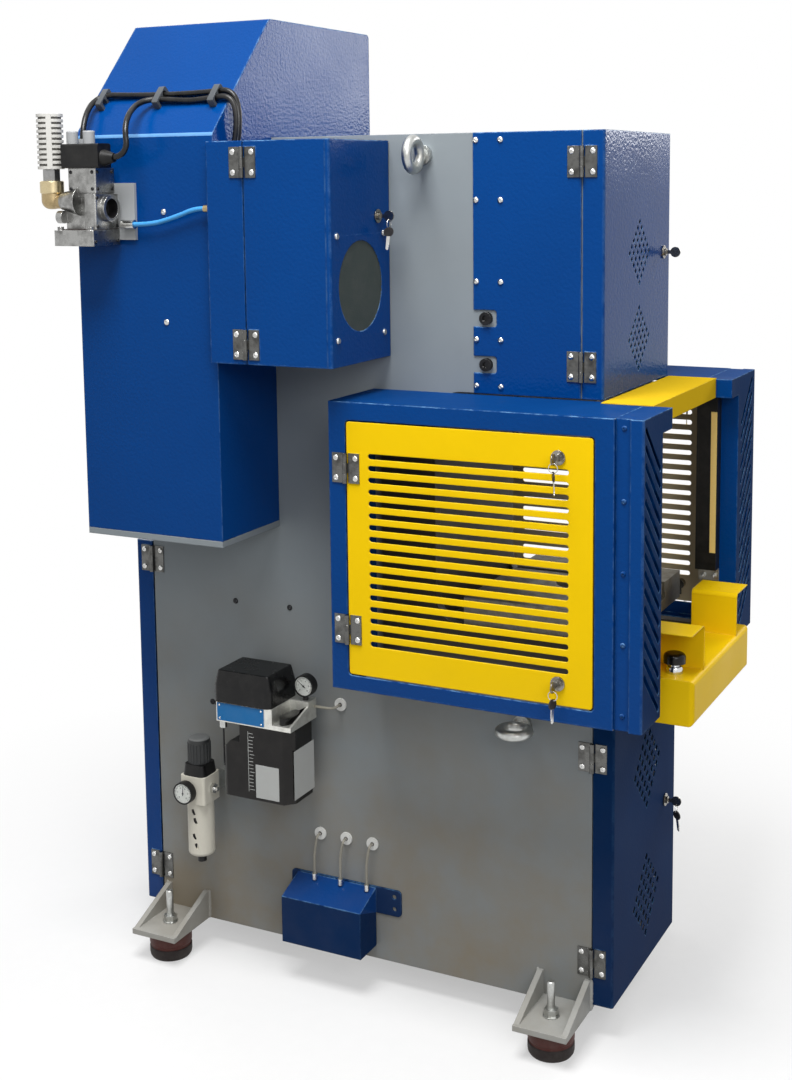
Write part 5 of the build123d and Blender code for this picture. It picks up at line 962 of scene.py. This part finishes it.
DRAIN_X, DRAIN_Y, PIPE = -330, -259.5, 1.8
drain = bmesh.new()
cut_plate(drain, hexagon(8), at(DRAIN_X, DRAIN_Y, 594), RIGHT, REAR, 18)
for low, way, long in ((499, UP, 88), (501, FRONT, 9)):
    turn(drain, [(0, 0, 1), (PIPE, 0, 1), (PIPE, long, 1), (0, long, 1)], at(DRAIN_X, DRAIN_Y, low), way, 16)
keep("tank_drain", drain, [zinc_steel, blued_steel])


# Lubricator: a blue enamelled box with three outlets; clear tubes run from it, and from the pump, into white
# grommets in the plate, each through a dark rubber sleeve.
tube_clear = moulded("tube_clear", (168, 164, 150), 0.3, 0.1, Alpha=0.6)
grommet_white = moulded("grommet_white", (226, 226, 222), 0.5, 0.1)
BOX_FRONT, BOX_SCREW = ((-283, -216), None, (180, 232)), ((-255, -241), (-370, -363.5), None)
# The lubricator box's sides take the painted-shade blue; its front takes the plain blue.
dress("manifold_box", painted_shade_blue, (machine_blue, *BOX_FRONT), (screw_steel, *BOX_SCREW))
dress("lube_tubes", tube_clear, band(grommet_white, "x", -212.05, -207), band(screw_steel, "z", 224, 239.05))
SLEEVE = [(3.05, 0, 0), (4.6, 0, 0), (4.3, 1.0, 0), (3.05, 1.2, 0), (3.05, 0, 0)]
sleeves = bmesh.new()
for y, z in ((-428, 327), (-493, 327), (-558, 327), (-484, 630)):
    turn(sleeves, SLEEVE, at(-212.05, y, z), LEFT, 24)
bmesh.ops.remove_doubles(sleeves, verts=sleeves.verts, dist=SEAM)
keep("grommet_sleeves", sleeves, [dark_rubber])


# Electrical plate inside the frame's foot: galvanised steel that carries contactors, a drive, a supply and a
# row of terminals, each in its own moulded plastic.
galvanised = metal("galvanised", (176, 180, 182), (140, 142, 144), 0.5, 60.0, 0.42)
gear_grey = moulded("gear_grey", (150, 152, 150), 0.5)
terminal_beige = moulded("terminal_beige", (190, 178, 150), 0.5)
PLATE_FRONT = -718.05
dress("control_gear", galvanised,
      (gear_grey, None, (-806, PLATE_FRONT), (464, 546)),
      (dark_plastic, None, (-836, PLATE_FRONT), (254, 426)),
      (cream_plastic, (19, 131), (-816, PLATE_FRONT), (274, 396)),
      (terminal_beige, None, (-761, PLATE_FRONT), (184, 226)))


# Lifting eyes: drop-forged rings screwed into the side plates, two near the top and two below the guard.
# Zinc-plated, like the levelling studs.
dress("lifting_eyes", zinc_steel)


# Studio: a pale floor that runs into a white backdrop, a soft light overhead, a fill from the left, a panel
# of light at the front right that the front faces mirror, and a weak fill behind.
CENTRE = (Vector(cad_box[0]) + Vector(cad_box[1])) / 2
FLOOR_REACH, FLOOR_FADE, SKY_DIM, WHITE = 9.0, (0.7, 2.0, 0.45, 1.0), 0.4, (1.0, 1.0, 1.0, 1.0)
FLOOR_DIM, FLOOR_LOW, FLOOR_HIGH = ((grey, grey, grey, 1.0) for grey in (0.3, 0.84, 0.88))


def shown_of(tree):
    """1 for rays that show the studio itself: from the camera, off a mirror or through glass."""
    rays = place(tree, "ShaderNodeLightPath").outputs
    seen = sum_of(tree, "MAXIMUM", rays["Is Camera Ray"], rays["Is Glossy Ray"])
    return sum_of(tree, "MAXIMUM", seen, rays["Is Transmission Ray"])


floor_mesh = bpy.data.meshes.new("floor")
floor_mesh.from_pydata(
    [(CENTRE.x + x * FLOOR_REACH, CENTRE.y + y * FLOOR_REACH, 0.0) for x, y in rectangle(1, 1)],
    [], [(0, 1, 2, 3)])
floor = show("floor", floor_mesh)
floor_paint = bpy.data.materials.new("pale_floor")
floor_paint.use_nodes = True
tree = floor_paint.node_tree
shader = tree.nodes["Principled BSDF"]
spot = spot_of(tree)
middle = place(tree, "ShaderNodeVectorMath", {0: spot, 1: (CENTRE.x, CENTRE.y, 0.0)}, operation="DISTANCE")
fade = span_of(tree, middle.outputs["Value"], *FLOOR_FADE)
shown = shown_of(tree)
pale = blend_of(tree, noise_of(tree, spot, 30.0, 4.0), FLOOR_LOW, FLOOR_HIGH)
wire(tree, shader, {"Base Color": blend_of(tree, shown, FLOOR_DIM, pale), "Roughness": 0.9})
glow = first_of(tree, "ShaderNodeEmission", {"Color": WHITE, "Strength": 1.0})
mixed = first_of(tree, "ShaderNodeMixShader", {0: times(tree, shown, fade), 1: shader.outputs[0], 2: glow})
wire(tree, tree.nodes["Material Output"], {"Surface": mixed})
floor_mesh.materials.append(floor_paint)

world = bpy.data.worlds.new("studio")
bpy.context.scene.world = world
world.use_nodes = True
tree = world.node_tree
strength = span_of(tree, shown_of(tree), 0.0, 1.0, SKY_DIM, 1.0)
wire(tree, tree.nodes["Background"], {"Color": WHITE, "Strength": strength})


def softbox(name, spot, size, power):
    """A square soft light that looks at the middle of the press."""
    lamp = bpy.data.lights.new(name, "AREA")
    lamp.shape = "SQUARE"
    lamp.size = size
    lamp.energy = power
    holder = show(name, lamp)
    holder.location = spot
    holder.rotation_euler = (CENTRE - Vector(spot)).to_track_quat("-Z", "Y").to_euler()


softbox("overhead", (-1.5, -0.2, 4.3), 1.6, 148.0)
softbox("left_fill", (-3.6, -3.0, 3.2), 2.0, 60.0)
softbox("front_right", (3.6, -1.8, 2.6), 1.3, 52.0)
softbox("rear_fill", (2.6, 3.4, 2.8), 1.6, 25.0)


# Camera: where the photograph was taken from, found from the press's own edges. The lens is shifted, because
# the picture is cut from a larger view.
CAMERA_AT = at(-3024.3, -2066.9, 1761.5)
AZIMUTH, ELEVATION, ROLL = -63.216, 7.276, -0.617
swing, tilt, roll = map(math.radians, (AZIMUTH, ELEVATION, ROLL))
back = Vector((math.sin(swing) * math.cos(tilt), -math.cos(swing) * math.cos(tilt), math.sin(tilt)))
level = UP.cross(back).normalized()
above = back.cross(level)
right = level * math.cos(roll) + above * math.sin(roll)
top = above * math.cos(roll) - level * math.sin(roll)
lens = bpy.data.cameras.new("photograph")
lens.lens = 51.33
lens.sensor_width = 36.0
lens.shift_x = -0.0072
lens.shift_y = -0.1528
camera = show("photograph", lens)
camera.matrix_world = Matrix.Translation(CAMERA_AT) @ Matrix((right, top, back)).transposed().to_4x4()
bpy.context.scene.camera = camera
bpy.context.scene.view_settings.view_transform = "Standard"
